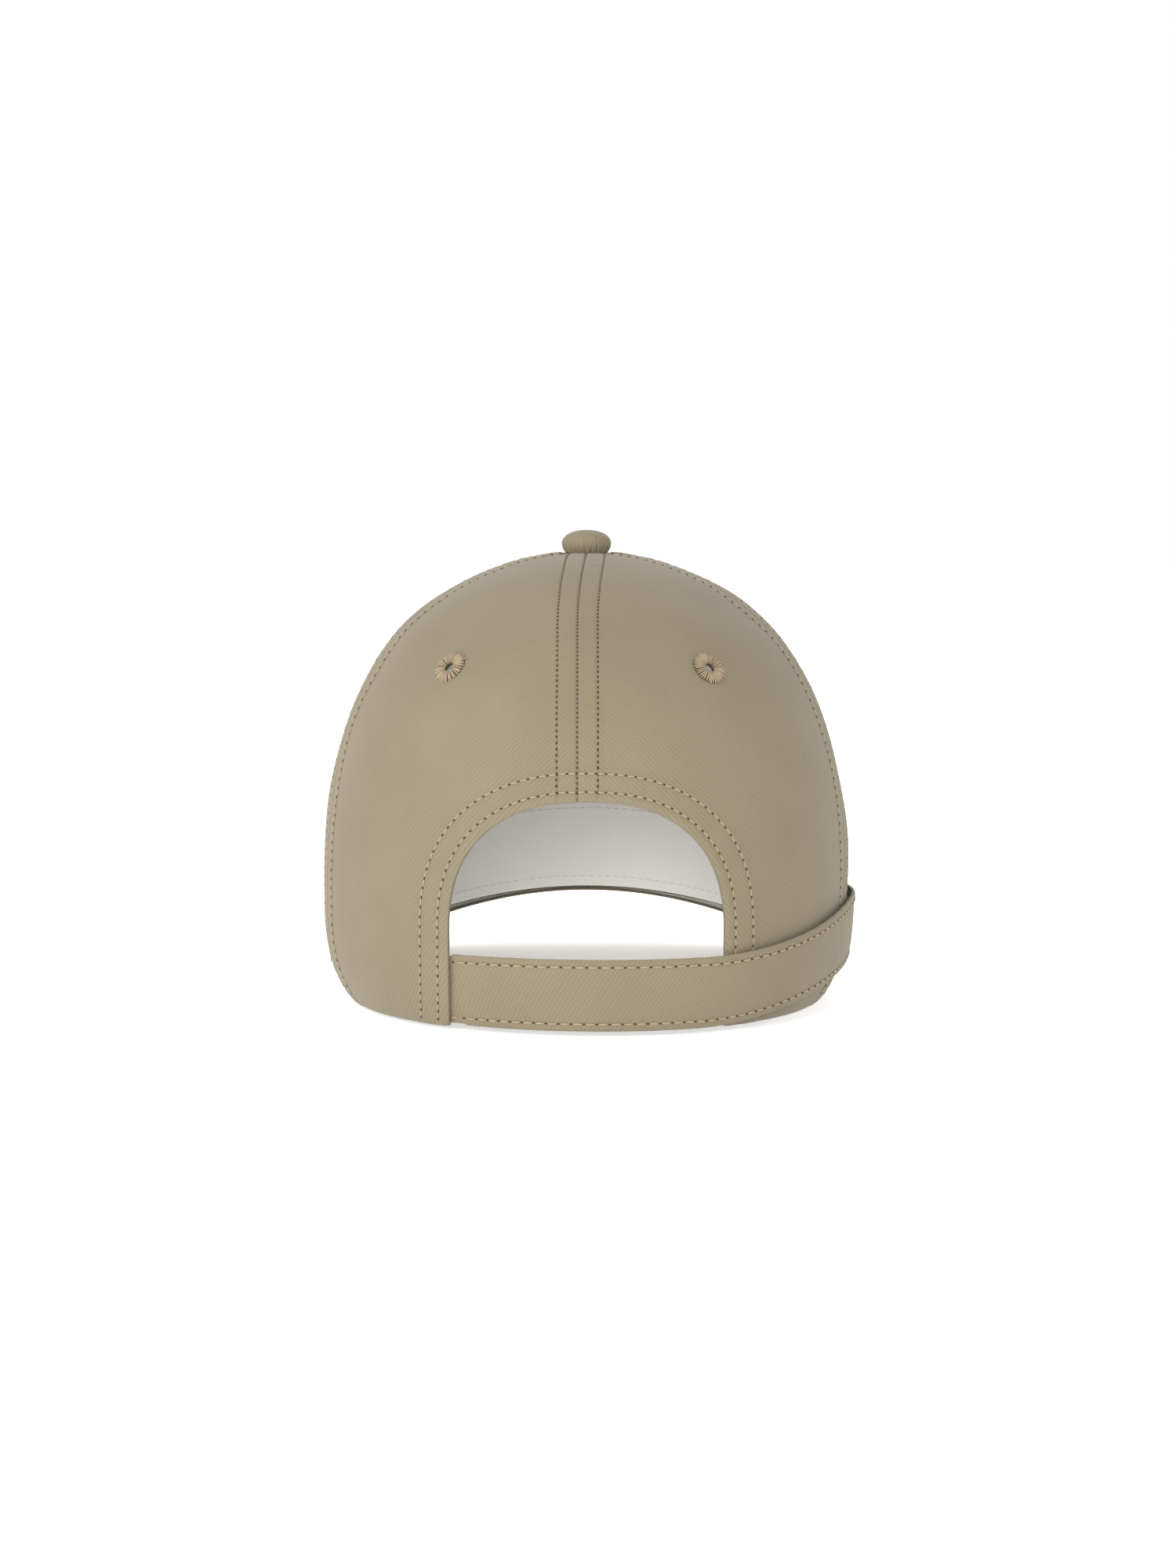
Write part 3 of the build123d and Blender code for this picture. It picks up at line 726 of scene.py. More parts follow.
def grains(rows, length, width, height, shift=0.0, drop=0.0, segments=(6, 6)):
    """Small stretched spheres along rows, each moved on by a share of a step and sunk."""
    bm = bmesh.new()
    for middles, headings, normals, step in rows:
        row = bmesh.new()
        for middle, heading, normal in zip(middles, headings, normals):
            side = np.cross(normal, heading)
            turn = np.stack((side * width / 2, np.cross(heading, side) * height / 2,
                             heading * length / 2), -1)
            spot = Matrix(turn.tolist()).to_4x4()
            spot.translation = Vector(middle + heading * shift * step - normal * drop)
            bmesh.ops.create_uvsphere(row, u_segments=segments[0], v_segments=segments[1],
                                      radius=1.0, matrix=spot)
        merge(bm, row)
    return bm


def sew(name, rows, length, width, material=thread, body="crown", sunk=0.0):
    """One mesh of a set of rows' stitches. sunk is the size of the dark grains between them:
    painted shade where the thread goes down into the needle holes.
    """
    bm = grains(rows, length, width, width * 0.8)
    faces = len(bm.faces)
    if sunk:
        # The dark grains half a step along are painted shade in the needle holes.
        merge(bm, grains(rows, sunk * 1.5, sunk, sunk * 0.7, 0.5, 0.06, (6, 4)))
        bm.faces.ensure_lookup_table()
        for face in bm.faces[faces:]:
            face.material_index = 1
    piece = finish_piece(bm, name, material, body)
    if sunk:
        piece.data.materials.append(needle_hole_shade)
    print(name, "has", sum(len(row[0]) for row in rows), "stitches")
    return piece


SECTOR = {"rear": (75, 75), "left_side": (75, 53), "left_front": (53, 52), "front": (52, 52),
          "right_front": (52, 53), "right_side": (53, 75)}


def seam_row(seam, side, start_height, lift, pitch, top_radius=8.6):
    """The topstitching beside a seam. side is -1 or 1."""
    middle = SEAMS[seam]
    start = height_level(middle, start_height)
    level = np.linspace(start, radius_level(middle, top_radius), 600)
    centre = seam_azimuth(seam, level)
    radius = np.linalg.norm(crown(centre, level)[:, :2], axis=-1)
    half_sector = np.radians(SECTOR[seam][0 if side < 0 else 1] / 2)
    room = np.minimum(ROW_OFFSET, radius * np.sin(half_sector) * 0.93)
    azimuth = centre + side * degrees_for(room, centre, level)
    proud = panel_relief(azimuth, level, (seam,), seam == "rear") + lift
    return evenly(azimuth, level, proud, pitch)


seam_rows = []
for seam_name in list(SEAMS)[1:]:
    foot = float(rim_height(SEAMS[seam_name])) + 1.5
    seam_rows += [seam_row(seam_name, side, foot, 0.2, 2.9) for side in (-1, 1)]
sew("seam_topstitching", seam_rows, 2.2, 0.62, sunk=0.55)
rear_rows = [seam_row("rear", side, ARCH_TOP + 1.0, 0.08, 1.9) for side in (-1, 1)]
sew("rear_seam_topstitching", rear_rows, 1.35, 0.6, seam_thread, sunk=0.72)

ditch_level = np.linspace(height_level(0.0, ARCH_TOP + 1.0), radius_level(0.0, 8.6), 500)
ditch_azimuth = seam_azimuth("rear", ditch_level)
ditch_floor = panel_relief(ditch_azimuth, ditch_level, ("rear",), True)
ditch = evenly(ditch_azimuth, ditch_level, ditch_floor + 0.1, 1.6)
sew("rear_seam_ditch_stitching", [ditch], 1.15, 0.5, seam_thread, sunk=0.62)


def arch_row(margin):
    share = np.linspace(-0.985, 0.985, 1500)
    azimuth, level = arch_spot(share, margin)
    proud = panel_relief(azimuth, level, ("rear",), True)
    return evenly(azimuth, level, proud + 0.16, 3.0)


sew("arch_topstitching", [arch_row(margin) for margin in ARCH_ROWS], 2.3, 0.6, sunk=0.6)

# %% [markdown]
# ## Eyelets
# An embroidered eyelet is a punched hole bound with radial satin stitches that lie side by side
# over a raised ring. The ring is a profile spun round the hole, and each stitch is a stretched
# sphere, narrow at the hole and wide outside, bent over the ring. The ring and the hole's wall
# are coloured dark: painted shade in the gaps between the stitches and in the hole.
# %% Embroidered eyelets
HOLE, RING, EYELET_STITCHES = 1.7, 5.6, 40


def eyelet_hump(radius):
    """Height of the ring's crown at a radius."""
    share = np.clip((radius - HOLE) / (RING - HOLE), 0.0, 1.0)
    return 0.16 + 0.6 * np.sin(np.pi * (0.1 + 0.86 * share))


def eyelet(name):
    centre, normal = eyelet_spot(name)
    depth = CLOTH + (BUCKRAM + LAYER_GAP if name.startswith("front") else 0.0)
    stand = Vector(normal).to_track_quat("Z", "Y").to_matrix().to_4x4()
    bm = bmesh.new()
    profile = [(RING, 0.0), (5.0, 0.28), (3.6, 0.5), (2.3, 0.34), (HOLE + 0.12, 0.0),
               (HOLE + 0.12, -depth - 0.2), (2.6, -depth - 0.55), (4.2, -depth - 0.35),
               (4.6, -depth + 0.05)]
    corners = [bm.verts.new((radius, 0, height)) for radius, height in profile]
    edges = [bm.edges.new(pair) for pair in zip(corners, corners[1:])]
    bmesh.ops.spin(bm, geom=corners + edges, cent=(0, 0, 0), axis=(0, 0, 1), angle=2 * math.pi,
                   steps=48, use_merge=True)
    bmesh.ops.recalc_face_normals(bm, faces=bm.faces)
    lifted = max(bm.faces, key=lambda face: face.calc_center_median().z)
    if lifted.normal.z < 0:
        bmesh.ops.reverse_faces(bm, faces=bm.faces)
    # The whole spun ring is dark: painted shade in the gaps between stitches and down the hole.
    for face in bm.faces:
        face.material_index = 1
    jitter = np.random.default_rng(len(name)).normal(size=(EYELET_STITCHES, 3))
    for index, (swing, longer, wider) in enumerate(jitter):
        turn = Matrix.Rotation(2 * math.pi * (index + 0.12 * swing) / len(jitter), 4, "Z")
        made = bmesh.ops.create_uvsphere(bm, u_segments=6, v_segments=8, radius=1.0)
        for vert in made["verts"]:
            radius = (HOLE + RING) / 2 + vert.co.z * ((RING - HOLE) / 2 + 0.3 + 0.14 * longer)
            side = vert.co.x * radius * math.pi / len(jitter) * (0.86 + 0.08 * wider)
            vert.co = turn @ Vector((radius, side, eyelet_hump(radius) + 0.2 * vert.co.y))
    bmesh.ops.transform(bm, matrix=Matrix.Translation(Vector(centre)) @ stand, verts=bm.verts)
    piece = finish_piece(bm, name + "_eyelet_embroidery", eyelet_thread, "crown",
                         [name + "_eyelet"])
    piece.data.materials.append(eyelet_underlay_shade)
    return piece


for gore_name in GORES:
    eyelet(gore_name)
print("ring", 2 * RING, "mm across, with a", 2 * HOLE, "mm hole")

# %% [markdown]
# ## The covered button
# A steel shell is covered with a disc of the same twill, drawn in underneath, so the cloth
# gathers into small pleats round its lower edge. A sphere is reshaped to the flattened dome, and
# its surface waved more and more towards the edge.
# %% Button
BUTTON_RADIUS, BUTTON_HEIGHT = 8.0, 7.4
WAIST = 0.42         # the widest ring's share of the height
UNDERSIDE = 0.85     # how far down the sphere the flat underside starts


def button_shape(z, reach):
    """Radius and height of the cover for a point of the unit sphere."""
    if z > 0:
        return BUTTON_RADIUS * reach ** 0.92, BUTTON_HEIGHT * (WAIST + (1 - WAIST) * z ** 0.97)
    share = min(-z / UNDERSIDE, 1.0)
    radius = BUTTON_RADIUS * (1 - 0.2 * share ** 2)
    if share == 1.0:
        radius *= reach / math.sqrt(1 - UNDERSIDE ** 2)
    return radius, BUTTON_HEIGHT * WAIST * (1 - share) - 0.35 * share


def button_cover():
    bm = bmesh.new()
    bmesh.ops.create_uvsphere(bm, u_segments=int(240 * FINE), v_segments=int(80 * FINE), radius=1.0)
    flat = bm.loops.layers.uv.new("cloth")
    seat = HEIGHT + LAYER_GAP
    for vert in bm.verts:
        x, y, z = vert.co
        turn, reach = math.atan2(y, x), math.hypot(x, y)
        radius, height = button_shape(z, reach)
        pleat = math.sin(19 * turn + 1.6 * math.sin(3 * turn) + 0.9 * math.sin(7 * turn))
        depth = 0.42 * max(pleat, 0.0) ** 2 + 0.12 * math.sin(41 * turn + z * 3)
        lower = min(max((0.35 - z) / 0.9, 0.0), 1.0)
        radius -= depth * lower * min(reach * 2, 1.0)
        vert.co = (radius * math.cos(turn), radius * math.sin(turn), seat + height)
    for face in bm.faces:
        for loop in face.loops:
            loop[flat].uv = loop.vert.co.xy
    piece = finish_piece(bm, "button_gathered_cover", twill_strap, "crown",
                         ["button_cover"])
    print("button top at", round(max(v.co.z for v in piece.data.vertices) / MM, 2), "mm")


button_cover()
for node, finish in (("button_shell", steel), ("button_rivet", steel), ("button_washer", steel),
                     ("visor_board", board_plastic)):
    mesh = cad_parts[node].data
    mesh.materials.clear()
    mesh.materials.append(finish)

# %% [markdown]
# ## The strap
# The strap is one long tube of twill, pressed flat, stitched near both edges, sewn in under the
# left rear panel and laid over the right one, where hook and loop hold it. It bends at two
# places: where it leaves the left panel, and where its tail peels off the right one. It can't
# follow both joints as one piece, so the sewn end is a short piece of its own that reaches a
# little behind the band.
# %% The strap's line
STRAP_WIDTH, STRAP_THICK, STRAP_LIFT = 22.4, 1.0, 0.6
ANCHOR_DEPTH = CLOTH + 2 * LAYER_GAP + TAPE + 0.2
PAD, PAD_GAP, PAD_WIDTH = 0.45, 0.34, 16.0
TAIL_DEPTH = -(2 * LAYER_GAP + 2 * PAD + PAD_GAP + STRAP_THICK)
TAIL_END = -99.0
CLIMB, CLIMB_START, CLIMB_LENGTH = 12.0, 38.0, 102.0

rear_turns = np.linspace(0.0, -130.0, 300)
rear_steps = np.linalg.norm(np.diff(crown(rear_turns, 0.1), axis=0), axis=1)
rear_walk = np.append(0.0, np.cumsum(rear_steps))


def strap_middle(azimuth):
    """Height of the strap's middle, which climbs where it lies on the right panel."""
    arc = np.interp(-azimuth, -rear_turns, rear_walk)
    return STRAP_LIFT + STRAP_WIDTH / 2 + CLIMB * ease((arc - CLIMB_START) / CLIMB_LENGTH)


root_level = height_level(90.0, strap_middle(0.0))
root_edge = float(np.degrees(np.arcsin(ARCH_HALF / crown(90.0, root_level)[0])))
ROOT = root_edge - float(degrees_for(1.4, root_edge, 0.0))
PEEL = -ROOT


def strap_spot(azimuth, lift, depth):
    """A point on the strap, lift above its middle line and depth behind its outer face."""
    level = height_level(azimuth, strap_middle(azimuth) + lift)
    normal = outward(azimuth, level)
    sideways = unit(normal * (1, 1, 0))
    share = (ROOT - azimuth) / (ROOT - PEEL)
    sunk = ANCHOR_DEPTH + (TAIL_DEPTH - ANCHOR_DEPTH) * ease(share)
    spot = crown(azimuth, level)
    return spot - sideways * (sunk + depth + drawn_in(azimuth, spot[..., 2]))[..., None]


# %% Strap pieces
STRAP_ROW = 2.4


def strap_relief(lift, walk):
    """Turned edges, stitch channels, and the slight waves of a stitched band."""
    edge = STRAP_WIDTH / 2 - np.abs(lift)
    roll = channel(edge, 0.32, 0.5)
    ridge = 0.12 * (1 - ease((edge - STRAP_ROW - 0.2) / 1.0))
    near = np.exp(-((edge - 1.3) / 1.4) ** 2)
    pucker = 0.09 * near * np.sin(walk * 2 * np.pi / 6.3 + 1.5 * np.sin(walk / 11.0))
    belly = 0.12 * np.sin(walk / 16.0 + 0.4 * lift / 5) * (1 - (lift / 11.2) ** 2)
    return roll + ridge + pucker + belly + channel(edge - STRAP_ROW, 0.2)


def strap_piece(name, start, end, inset, depth, nodes, columns):
    """A length of the strap, from one azimuth to another."""

    def place(along, up):
        azimuth = start + (end - start) * crowd(along, 0.3)
        lift = (STRAP_WIDTH - 2 * inset) * (crowd(up, 0.7) - 0.5)
        walk = -azimuth * 1.62
        relief = strap_relief(lift, walk)
        return strap_spot(azimuth, lift, depth - relief), np.stack((walk, lift), -1)

    bm = grid_of_cloth(int(columns * FINE), int(44 * FINE), place)
    piece = finish_piece(bm, name, twill_strap, None)
    bake(thicken(piece, STRAP_THICK - 0.1, 0.28))
    return bend(piece, nodes)


def bend(piece, nodes=()):
    """Bake a piece's transform into its mesh, and hide the CAD parts it replaces."""
    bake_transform(piece)
    if nodes:
        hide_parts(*nodes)
    return piece


strap_piece("strap_sewn_end", ROOT + 22.0, ROOT - 5.0, 0.5, 0.12,
            ["strap_anchor"], 60)
strap_piece("strap_band", ROOT - LAYER_GAP, TAIL_END, 0.0, 0.0,
            ["strap_main", "strap_tail"], 330)


def strap_row(start, end, lift, pitch=3.9):
    azimuth = np.linspace(start, end, 900)
    spots = strap_spot(azimuth, lift + 0 * azimuth, -0.1 + 0 * azimuth)
    return spaced(spots, unit(outward(azimuth, 0.12) * (1, 1, 0)), pitch)


strap_lifts = [sign * (STRAP_WIDTH / 2 - STRAP_ROW) for sign in (-1, 1)]
long_rows = [strap_row(ROOT - 1.0, TAIL_END + 1.5, lift) for lift in strap_lifts]
strap_stitches = sew("strap_topstitching", long_rows, 2.9, 0.7, body=None, sunk=0.6)
bend(strap_stitches)
sewn_rows = [strap_row(ROOT + 5.0, ROOT - 0.4, lift) for lift in strap_lifts]
sewn_stitches = sew("strap_sewn_end_stitching", sewn_rows, 2.9, 0.7, body=None, sunk=0.6)
bend(sewn_stitches)
end_lifts = np.linspace(-1.0, 1.0, 60) * (STRAP_WIDTH / 2 - STRAP_ROW)
end_turn = TAIL_END + float(degrees_for(2.4, TAIL_END, 0.1))
end_path = strap_spot(end_turn + 0 * end_lifts, end_lifts, -0.1 + 0 * end_lifts)
end_normals = np.tile(unit(outward(end_turn, 0.12) * (1, 1, 0)), (60, 1))
sew("strap_end_stitching", [spaced(end_path, end_normals, 3.6)], 2.7, 0.7, body="strap_tail",
    sunk=0.6)


PAD_START, PAD_SPAN = -38.0, 54.0


def pad(name, depth, material, body, node):
    def place(along, up):
        azimuth = PAD_START - PAD_SPAN * along
        lift = PAD_WIDTH * (up - 0.5)
        return strap_spot(azimuth, lift, depth + 0 * lift), np.stack((along * 90, lift), -1)

    bm = grid_of_cloth(int(90 * FINE), 18, place)
    return thicken(finish_piece(bm, name, material, body, [node]), PAD)


pad("hook_fastener_pad", STRAP_THICK + LAYER_GAP, hooks, "strap_tail", "hook_pad")
pad("loop_fastener_pad", STRAP_THICK + LAYER_GAP + PAD + PAD_GAP, pile, "crown",
    "loop_pad")

# %% [markdown]
# ## Inside the crown
# The inside shows through the arch and from below: stiff white buckram behind the two front
# gores, tape bound over every seam, facing tape round the arch, a sweatband with a blank label.
# Each is one thin sheet at its own depth under the twill, so each is a grid at that depth.
# %% Linings and tapes
UNDER_CLOTH = CLOTH + LAYER_GAP
TAPE_WIDTH, FACING_START, FACING_WIDTH = 16.0, 0.15, 10.7


def front_lining(name):
    left, right = GORES[name]
    middle = (SEAMS[left] + SEAMS[right]) / 2

    def place(along, up):
        azimuth, level = gore(left, right, along, up, 0.8, radius_level(180.0, 20.0), 1.5)
        return (on_crown(azimuth, level, -UNDER_CLOTH + 0 * level),
                flat_cloth(azimuth, level, middle))

    bm = grid_of_cloth(int(60 * FINE), int(100 * FINE), place)
    punch(bm, name, LINING_OPENING)
    piece = finish_piece(bm, name + "_lining", buckram, "crown",
                         [name + "_buckram"])
    return thicken(piece, BUCKRAM)


def seam_tape(name):
    middle = SEAMS[name]
    depth = UNDER_CLOTH + (BUCKRAM + LAYER_GAP if "front" in name else 0.0)
    low = ARCH_TOP + 11.8 if name == "rear" else float(rim_height(middle)) + 0.8
    start, top = height_level(middle, low), radius_level(middle, 17.5)

    def place(along, up):
        level = start + (top - start) * up
        centre = seam_azimuth(name, level)
        swing = along - 0.5
        azimuth = centre + swing * degrees_for(TAPE_WIDTH, centre, level)
        across = swing * TAPE_WIDTH
        bulge = -0.25 * np.exp(-(across / 1.5) ** 2)
        return (on_crown(azimuth, level, -depth + bulge),
                np.stack((across, level * SEAM_WALK), -1))

    bm = grid_of_cloth(16, int(110 * FINE), place)
    piece = finish_piece(bm, name + "_bound_tape", tape_cotton, "crown",
                         [name + "_seam_tape"])
    rows = []
    for side in (-1, 1):
        level = np.linspace(start, top, 400)
        centre = seam_azimuth(name, level)
        azimuth = centre + side * degrees_for(ROW_OFFSET, centre, level)
        rows.append(evenly(azimuth, level, -depth - TAPE - 0.05, 3.0))
    return thicken(piece, TAPE), rows


for gore_name in ("front_left", "front_right"):
    front_lining(gore_name)
inner_rows = []
for seam_name in SEAMS:
    inner_rows += seam_tape(seam_name)[1]
sew("inside_tape_stitching", inner_rows, 2.3, 0.55)


def arch_facing():
    def place(along, up):
        share = 1.96 * (along - 0.5)
        azimuth, level = arch_spot(share, FACING_START + FACING_WIDTH * up)
        return (on_crown(azimuth, level, -UNDER_CLOTH + 0 * level),
                np.stack((11 * up, share * 106), -1))

    bm = grid_of_cloth(int(200 * FINE), 14, place)
    piece = finish_piece(bm, "arch_facing_tape", tape_cotton, "crown",
                         ["arch_facing"])
    return thicken(piece, TAPE)


arch_facing()

# %% Sweatband and label
BAND_DEPTH = ANCHOR_DEPTH + STRAP_THICK + 0.3
BAND_HEIGHT, BAND_THICK, BAND_LIFT = 31.0, 1.2, 0.8
LABEL_TURN, LABEL_WIDTH, LABEL_LOW, LABEL_TALL = -62.0, 22.0, 8.5, 14.0
arch_foot = float(np.degrees(np.arcsin(ARCH_HALF / crown(90.0, 0.0)[0])))
band_start = arch_foot + float(degrees_for(3.0, 0.0, 0.0))


def band_spot(azimuth, height, depth):
    """A point on the inside of the rim, at a height above it."""
    level = height_level(azimuth, rim_height(azimuth) + height)
    return crown(azimuth, level) - outward(azimuth, level) * np.asarray(depth)[..., None]


def sweatband():
    def place(along, up):
        azimuth = band_start + (360 - 2 * band_start) * along
        height = BAND_LIFT + BAND_HEIGHT * crowd(up, 0.6)
        return (band_spot(azimuth, height, BAND_DEPTH + 0.1 + 0 * height),
                np.stack((azimuth * 1.6, height), -1))

    bm = grid_of_cloth(int(420 * FINE), int(26 * FINE), place)
    piece = finish_piece(bm, "sweatband_folded", band_cotton, "crown",
                         ["sweatband"])
    thicken(piece, BAND_THICK - 0.2, 0.3)
    azimuth = np.linspace(band_start + 1, 359 - band_start, 2500)
    inner = BAND_DEPTH + BAND_THICK - 0.12
    rows = []
    for height in (4.2, 28.6):
        path = band_spot(azimuth, height, inner + 0 * azimuth)
        rows.append(spaced(path, -outward(azimuth, height_level(azimuth, height)), 3.0))
    sew("sweatband_stitching", rows, 2.3, 0.55, pale_thread)


def care_label():
    span = float(degrees_for(LABEL_WIDTH, LABEL_TURN, 0.1))
    depth = BAND_DEPTH + BAND_THICK + LAYER_GAP

    def place(along, up):
        azimuth = LABEL_TURN + span * (along - 0.5)
        height = LABEL_LOW + LABEL_TALL * up
        wave = 0.12 * np.sin(along * 9) * np.sin(up * 3.1)
        return (band_spot(azimuth, height, depth + wave),
                np.stack((LABEL_WIDTH * along, LABEL_TALL * up), -1))

    piece = finish_piece(grid_of_cloth(30, 20, place), "blank_satin_label", satin, "crown",
                         ["care_label"])
    thicken(piece, 0.3)
    rows = []
    for along in (-0.43, 0.43):
        height = np.linspace(9.3, 21.7, 60)
        azimuth = LABEL_TURN + span * along + 0 * height
        path = band_spot(azimuth, height, depth + 0.32 + 0 * height)
        rows.append(spaced(path, -outward(azimuth, height_level(azimuth, height)), 2.0))
    sew("label_stitching", rows, 1.5, 0.4, pale_thread)


sweatband()
care_label()

# %% [markdown]
# ## The visor
# A moulded board is covered above and below with the crown's twill and closed with a turned edge.
# Eight rows of stitching follow the edge and quilt the covers to the board, so each row pulls a
# shallow channel. The covers are grids laid on the visor's curve that run in under the crown's
# rim, and the turned edge is a half round wrapped along it and round its two short ends.
# %% Visor shape and relief
STACK = 2 * COVER + BOARD + 2 * LAYER_GAP
EDGE_ROUND = STACK / 2
VISOR_ROWS = [3.6 + 7.6 * k for k in range(8)]
TUCKED = 1.6     # how far the covers run in under the crown's turned rim


def visor_spot(azimuth, out, lift, trim=0.0):
    """A point on the visor, lift above its underside."""
    x, y = visor_plan(azimuth, out, rim_height(azimuth) + STACK, trim)
    return np.stack((x, y, CREST - visor_drop(x, y) + lift), -1)


def visor_channels(azimuth, out, trim):
    distance = (1 - out) * (visor_reach(azimuth) - trim) + trim
    shown = ease((visor_reach(azimuth) - distance) / 1.5)
    total = sum(channel(distance - row, 0.22, 0.6) for row in VISOR_ROWS) * shown
    return total + 0.08 * np.sin(azimuth * 1.9) * np.exp(-((distance - 2.5) / 2.5) ** 2)


def visor_cover(name, lift, sign, node):
    """A cover over the board. sign is 1 for the upper one and -1 for the lower."""

    def place(along, up):
        azimuth = CORNER + (360 - 2 * CORNER) * crowd(along, 0.4)
        relief = visor_channels(azimuth, up, EDGE_ROUND)
        out = up - (1 - up) * TUCKED / visor_reach(azimuth)
        spots = visor_spot(azimuth, out, lift + sign * relief, EDGE_ROUND)
        return spots, np.stack((spots[:, 0], spots[:, 1]), -1)

    bm = grid_of_cloth(int(200 * FINE), int(190 * FINE), place, (0, -130, -900 * sign))
    piece = finish_piece(bm, name, twill_strap, "crown", [node])
    return thicken(piece, COVER)


def turned_edge():
    """The half-round fold of cloth along the visor's edge."""

    def place(along, up):
        azimuth = CORNER + (360 - 2 * CORNER) * crowd(along, 0.4)
        angle = np.pi * (up - 0.5)
        ripple = 0.06 * np.sin(azimuth * 3.1) * np.cos(angle)
        reach = visor_reach(azimuth)
        radius = EDGE_ROUND + ripple
        out = 1 - (EDGE_ROUND - radius * np.cos(angle)) / reach
        spots = visor_spot(azimuth, out, EDGE_ROUND + EDGE_ROUND * np.sin(angle))
        return spots, np.stack((azimuth * 2.2, 6 * up), -1)

    bm = grid_of_cloth(int(240 * FINE), 14, place, (0, -100, 25))
    piece = finish_piece(bm, "visor_turned_edge", twill_strap, "crown",
                         ["visor_edge_hem"])
    return thicken(piece, 0.7)


def corner_fold(name, azimuth, sign):
    """The same fold carried round the visor's short end, as far as the crown."""

    def place(along, up):
        turn = azimuth + 0 * along
        angle = np.pi * (up - 0.5)
        line = visor_spot(turn, 1.02 * along - TUCKED / CORNER_REACH * (1 - along), EDGE_ROUND)
        ends = visor_spot(np.full(2, azimuth), np.array([0.0, 1.0]), 0.0)
        heading = unit(ends[1] - ends[0])
        beside = sign * unit(np.cross(heading, (0.0, 0.0, 1.0)))
        spots = line + beside * (EDGE_ROUND * np.cos(angle))[:, None]
        spots[:, 2] += EDGE_ROUND * np.sin(angle)
        return spots, np.stack((6 * along, 6 * up), -1)

    bm = grid_of_cloth(12, 14, place, (0, -60, 15))
    return thicken(finish_piece(bm, name, twill_strap, "crown"), 0.7)


def visor_row(distance, lift, sign):
    azimuth = np.linspace(CORNER, 360 - CORNER, 3000)
    reach = visor_reach(azimuth)
    azimuth, reach = azimuth[reach > distance + 1.5], reach[reach > distance + 1.5]
    path = visor_spot(azimuth, 1 - distance / reach, lift)
    slope = np.stack((path[:, 0] / VISOR_ROUND, 0 * reach - VISOR_SLOPE, 1 + 0 * reach), -1)
    return spaced(path, sign * unit(slope), 3.1)


visor_cover("visor_upper_twill", STACK, 1, "visor_upper_cover")
visor_cover("visor_lower_twill", 0.0, -1, "visor_lower_cover")
turned_edge()
corner_fold("visor_left_corner_fold", CORNER, -1)
corner_fold("visor_right_corner_fold", 360 - CORNER, 1)
for face_name, lift, sign in (("top", STACK - 0.03, 1), ("under", 0.03, -1)):
    rows = [visor_row(row, lift, sign) for row in VISOR_ROWS]
    sew(f"visor_{face_name}_stitching", rows, 2.4, 0.62, sunk=0.5)

# %% [markdown]
# ## Floor, light and camera
# The cap stands on a pale light table in a studio tent: a floor that glows a little, which keeps
# it white and sends light up into the crown, and a bright even sky. One large soft lamp on the
# wearer's left models the cloth, a broad one behind the camera shines in through the arch, and
# the camera stands behind the cap with a long lens, so that perspective doesn't bend the crown.
# %% Studio
FLOOR_GLOW, FLOOR_RADIUS = 0.45, 14.0


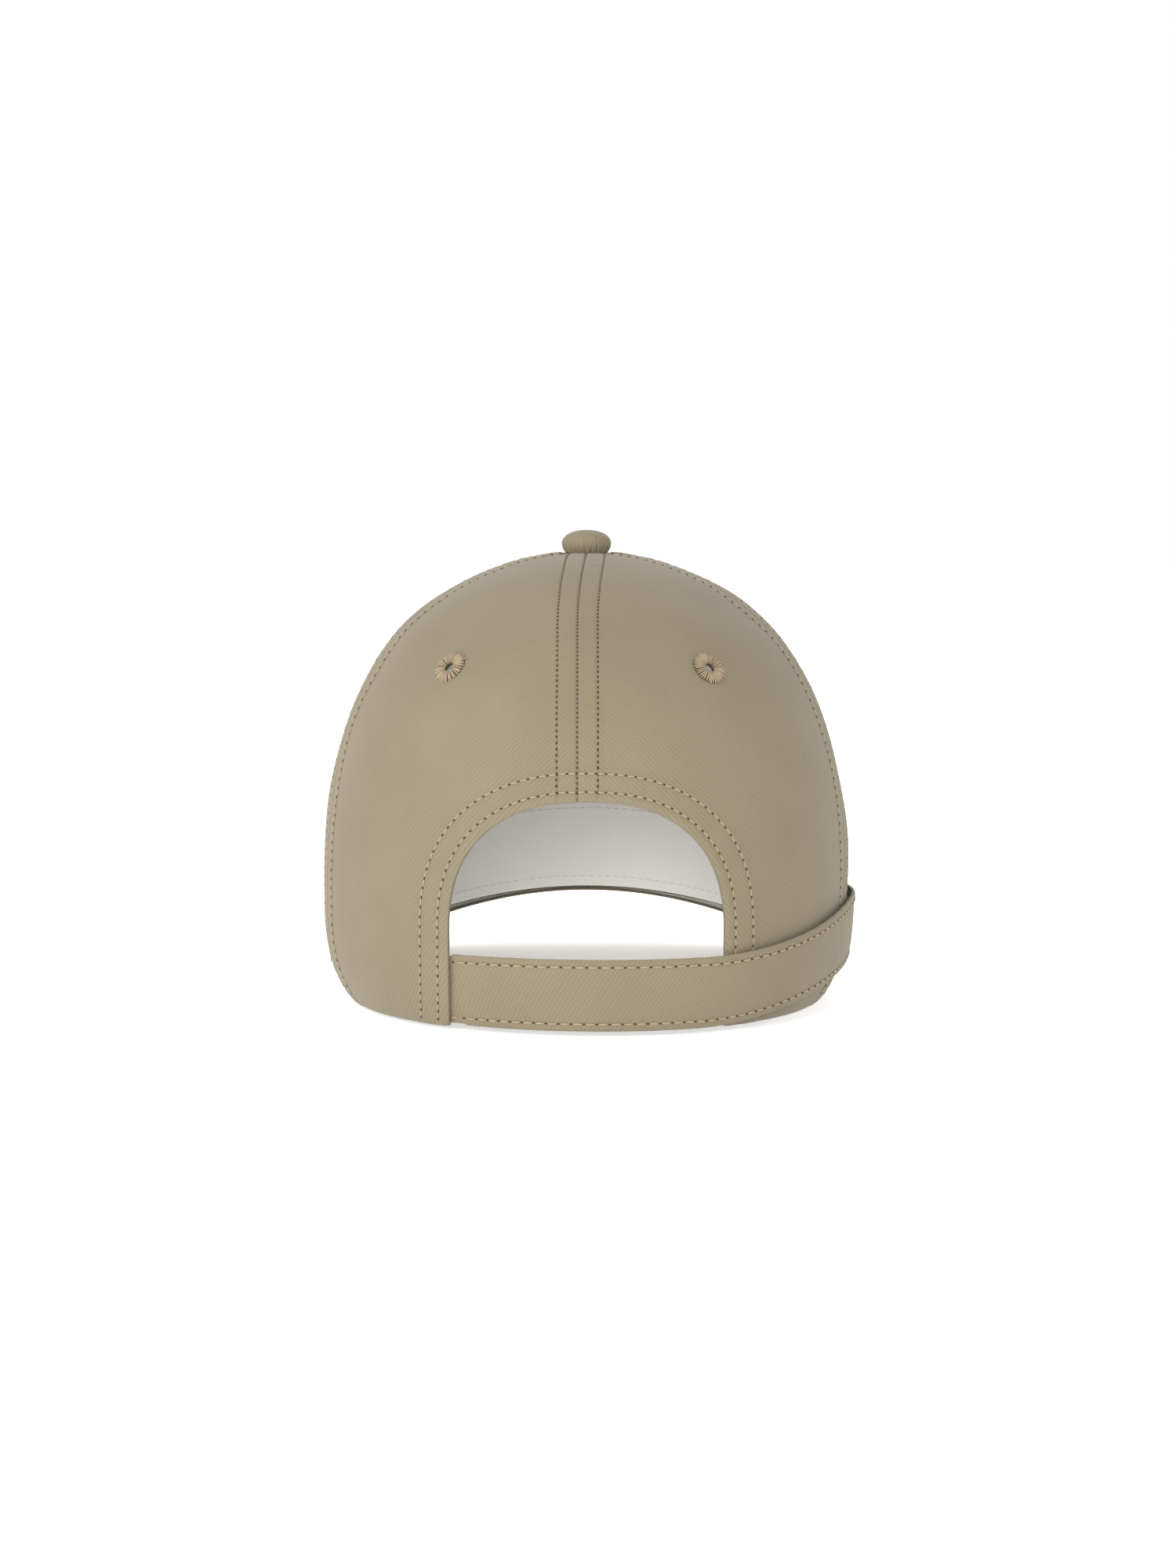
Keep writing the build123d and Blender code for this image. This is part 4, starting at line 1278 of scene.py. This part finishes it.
def floor():
    material, tree, shader = new_finish("Seamless paper floor", 0.9)
    place = add(tree, "ShaderNodeTexCoord")
    grain = add(tree, "ShaderNodeTexNoise", {"Vector": place.outputs["Object"], "Scale": 30.0})
    tint = add(tree, "ShaderNodeMix", {0: grain.outputs[0], MIX_A: linear("#F6F6F5"),
               MIX_B: linear("#FBFBFA")}, data_type="RGBA")
    tree.links.new(tint.outputs[MIXED], shader.inputs["Base Color"])
    shader.inputs["Emission Color"].default_value = (1, 1, 1, 1)
    shader.inputs["Emission Strength"].default_value = FLOOR_GLOW
    bm = bmesh.new()
    bmesh.ops.create_circle(bm, cap_ends=True, segments=96, radius=FLOOR_RADIUS)
    bmesh.ops.translate(bm, vec=(0, 0, cad_box[0].z - 0.0004), verts=bm.verts)
    mesh = bpy.data.meshes.new("floor")
    bm.to_mesh(mesh)
    bm.free()
    mesh.materials.append(material)
    piece = bpy.data.objects.new("studio_floor", mesh)
    bpy.context.collection.objects.link(piece)
    piece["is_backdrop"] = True


def stand(name, data, place, aim):
    """Put a lamp or a camera at a place, looking at a point. Both in metres."""
    holder = bpy.data.objects.new(name, data)
    bpy.context.collection.objects.link(holder)
    holder.location = place
    holder.rotation_euler = (Vector(aim) - Vector(place)).to_track_quat("-Z", "Y").to_euler()
    return holder


def lamp(name, place, aim, size, power):
    light = bpy.data.lights.new(name, "AREA")
    light.shape, light.size, light.energy = "DISK", size, power
    stand(name, light, place, aim)


def sky(strength):
    world = bpy.data.worlds.new("studio")
    world.use_nodes = True
    world.node_tree.nodes["Background"].inputs["Color"].default_value = (1, 1, 1, 1)
    world.node_tree.nodes["Background"].inputs["Strength"].default_value = strength
    bpy.context.scene.world = world


floor()
sky(1.0)
lamp("key", (1.6, 1.5, 0.9), (0, 0, 0.07), 1.1, 18.0)
lamp("behind the camera", (0.25, 2.3, 0.35), (0, 0, 0.05), 1.0, 30.0)
lamp("front", (0.3, -1.6, 1.4), (0, 0, 0.07), 1.4, 5.0)
bpy.context.scene.view_settings.view_transform = "Standard"

camera = bpy.data.cameras.new("camera")
camera.sensor_width = 36.0
camera.lens = 83.95
bpy.context.scene.camera = stand("camera", camera, (0.0, 1.1976, 0.1508),
                                 (-0.0005, 0.0, 0.0693))
print("camera", round(bpy.context.scene.camera.location.length, 2), "m from the cap's origin")

# %% [markdown]
# ## Sizes
# Both boxes are measured, and how far the visual model grows past the CAD solids is printed.
# The visual model may stand only a little past the CAD solids, so both boxes are measured.
# %% Sizes
shown_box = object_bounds()
for axis, low, high, low_cad, high_cad in zip("xyz", *shown_box, *cad_box):
    print(axis, "grows", round((low_cad - low) / MM, 2), "and", round((high - high_cad) / MM, 2),
          "mm past the CAD box")
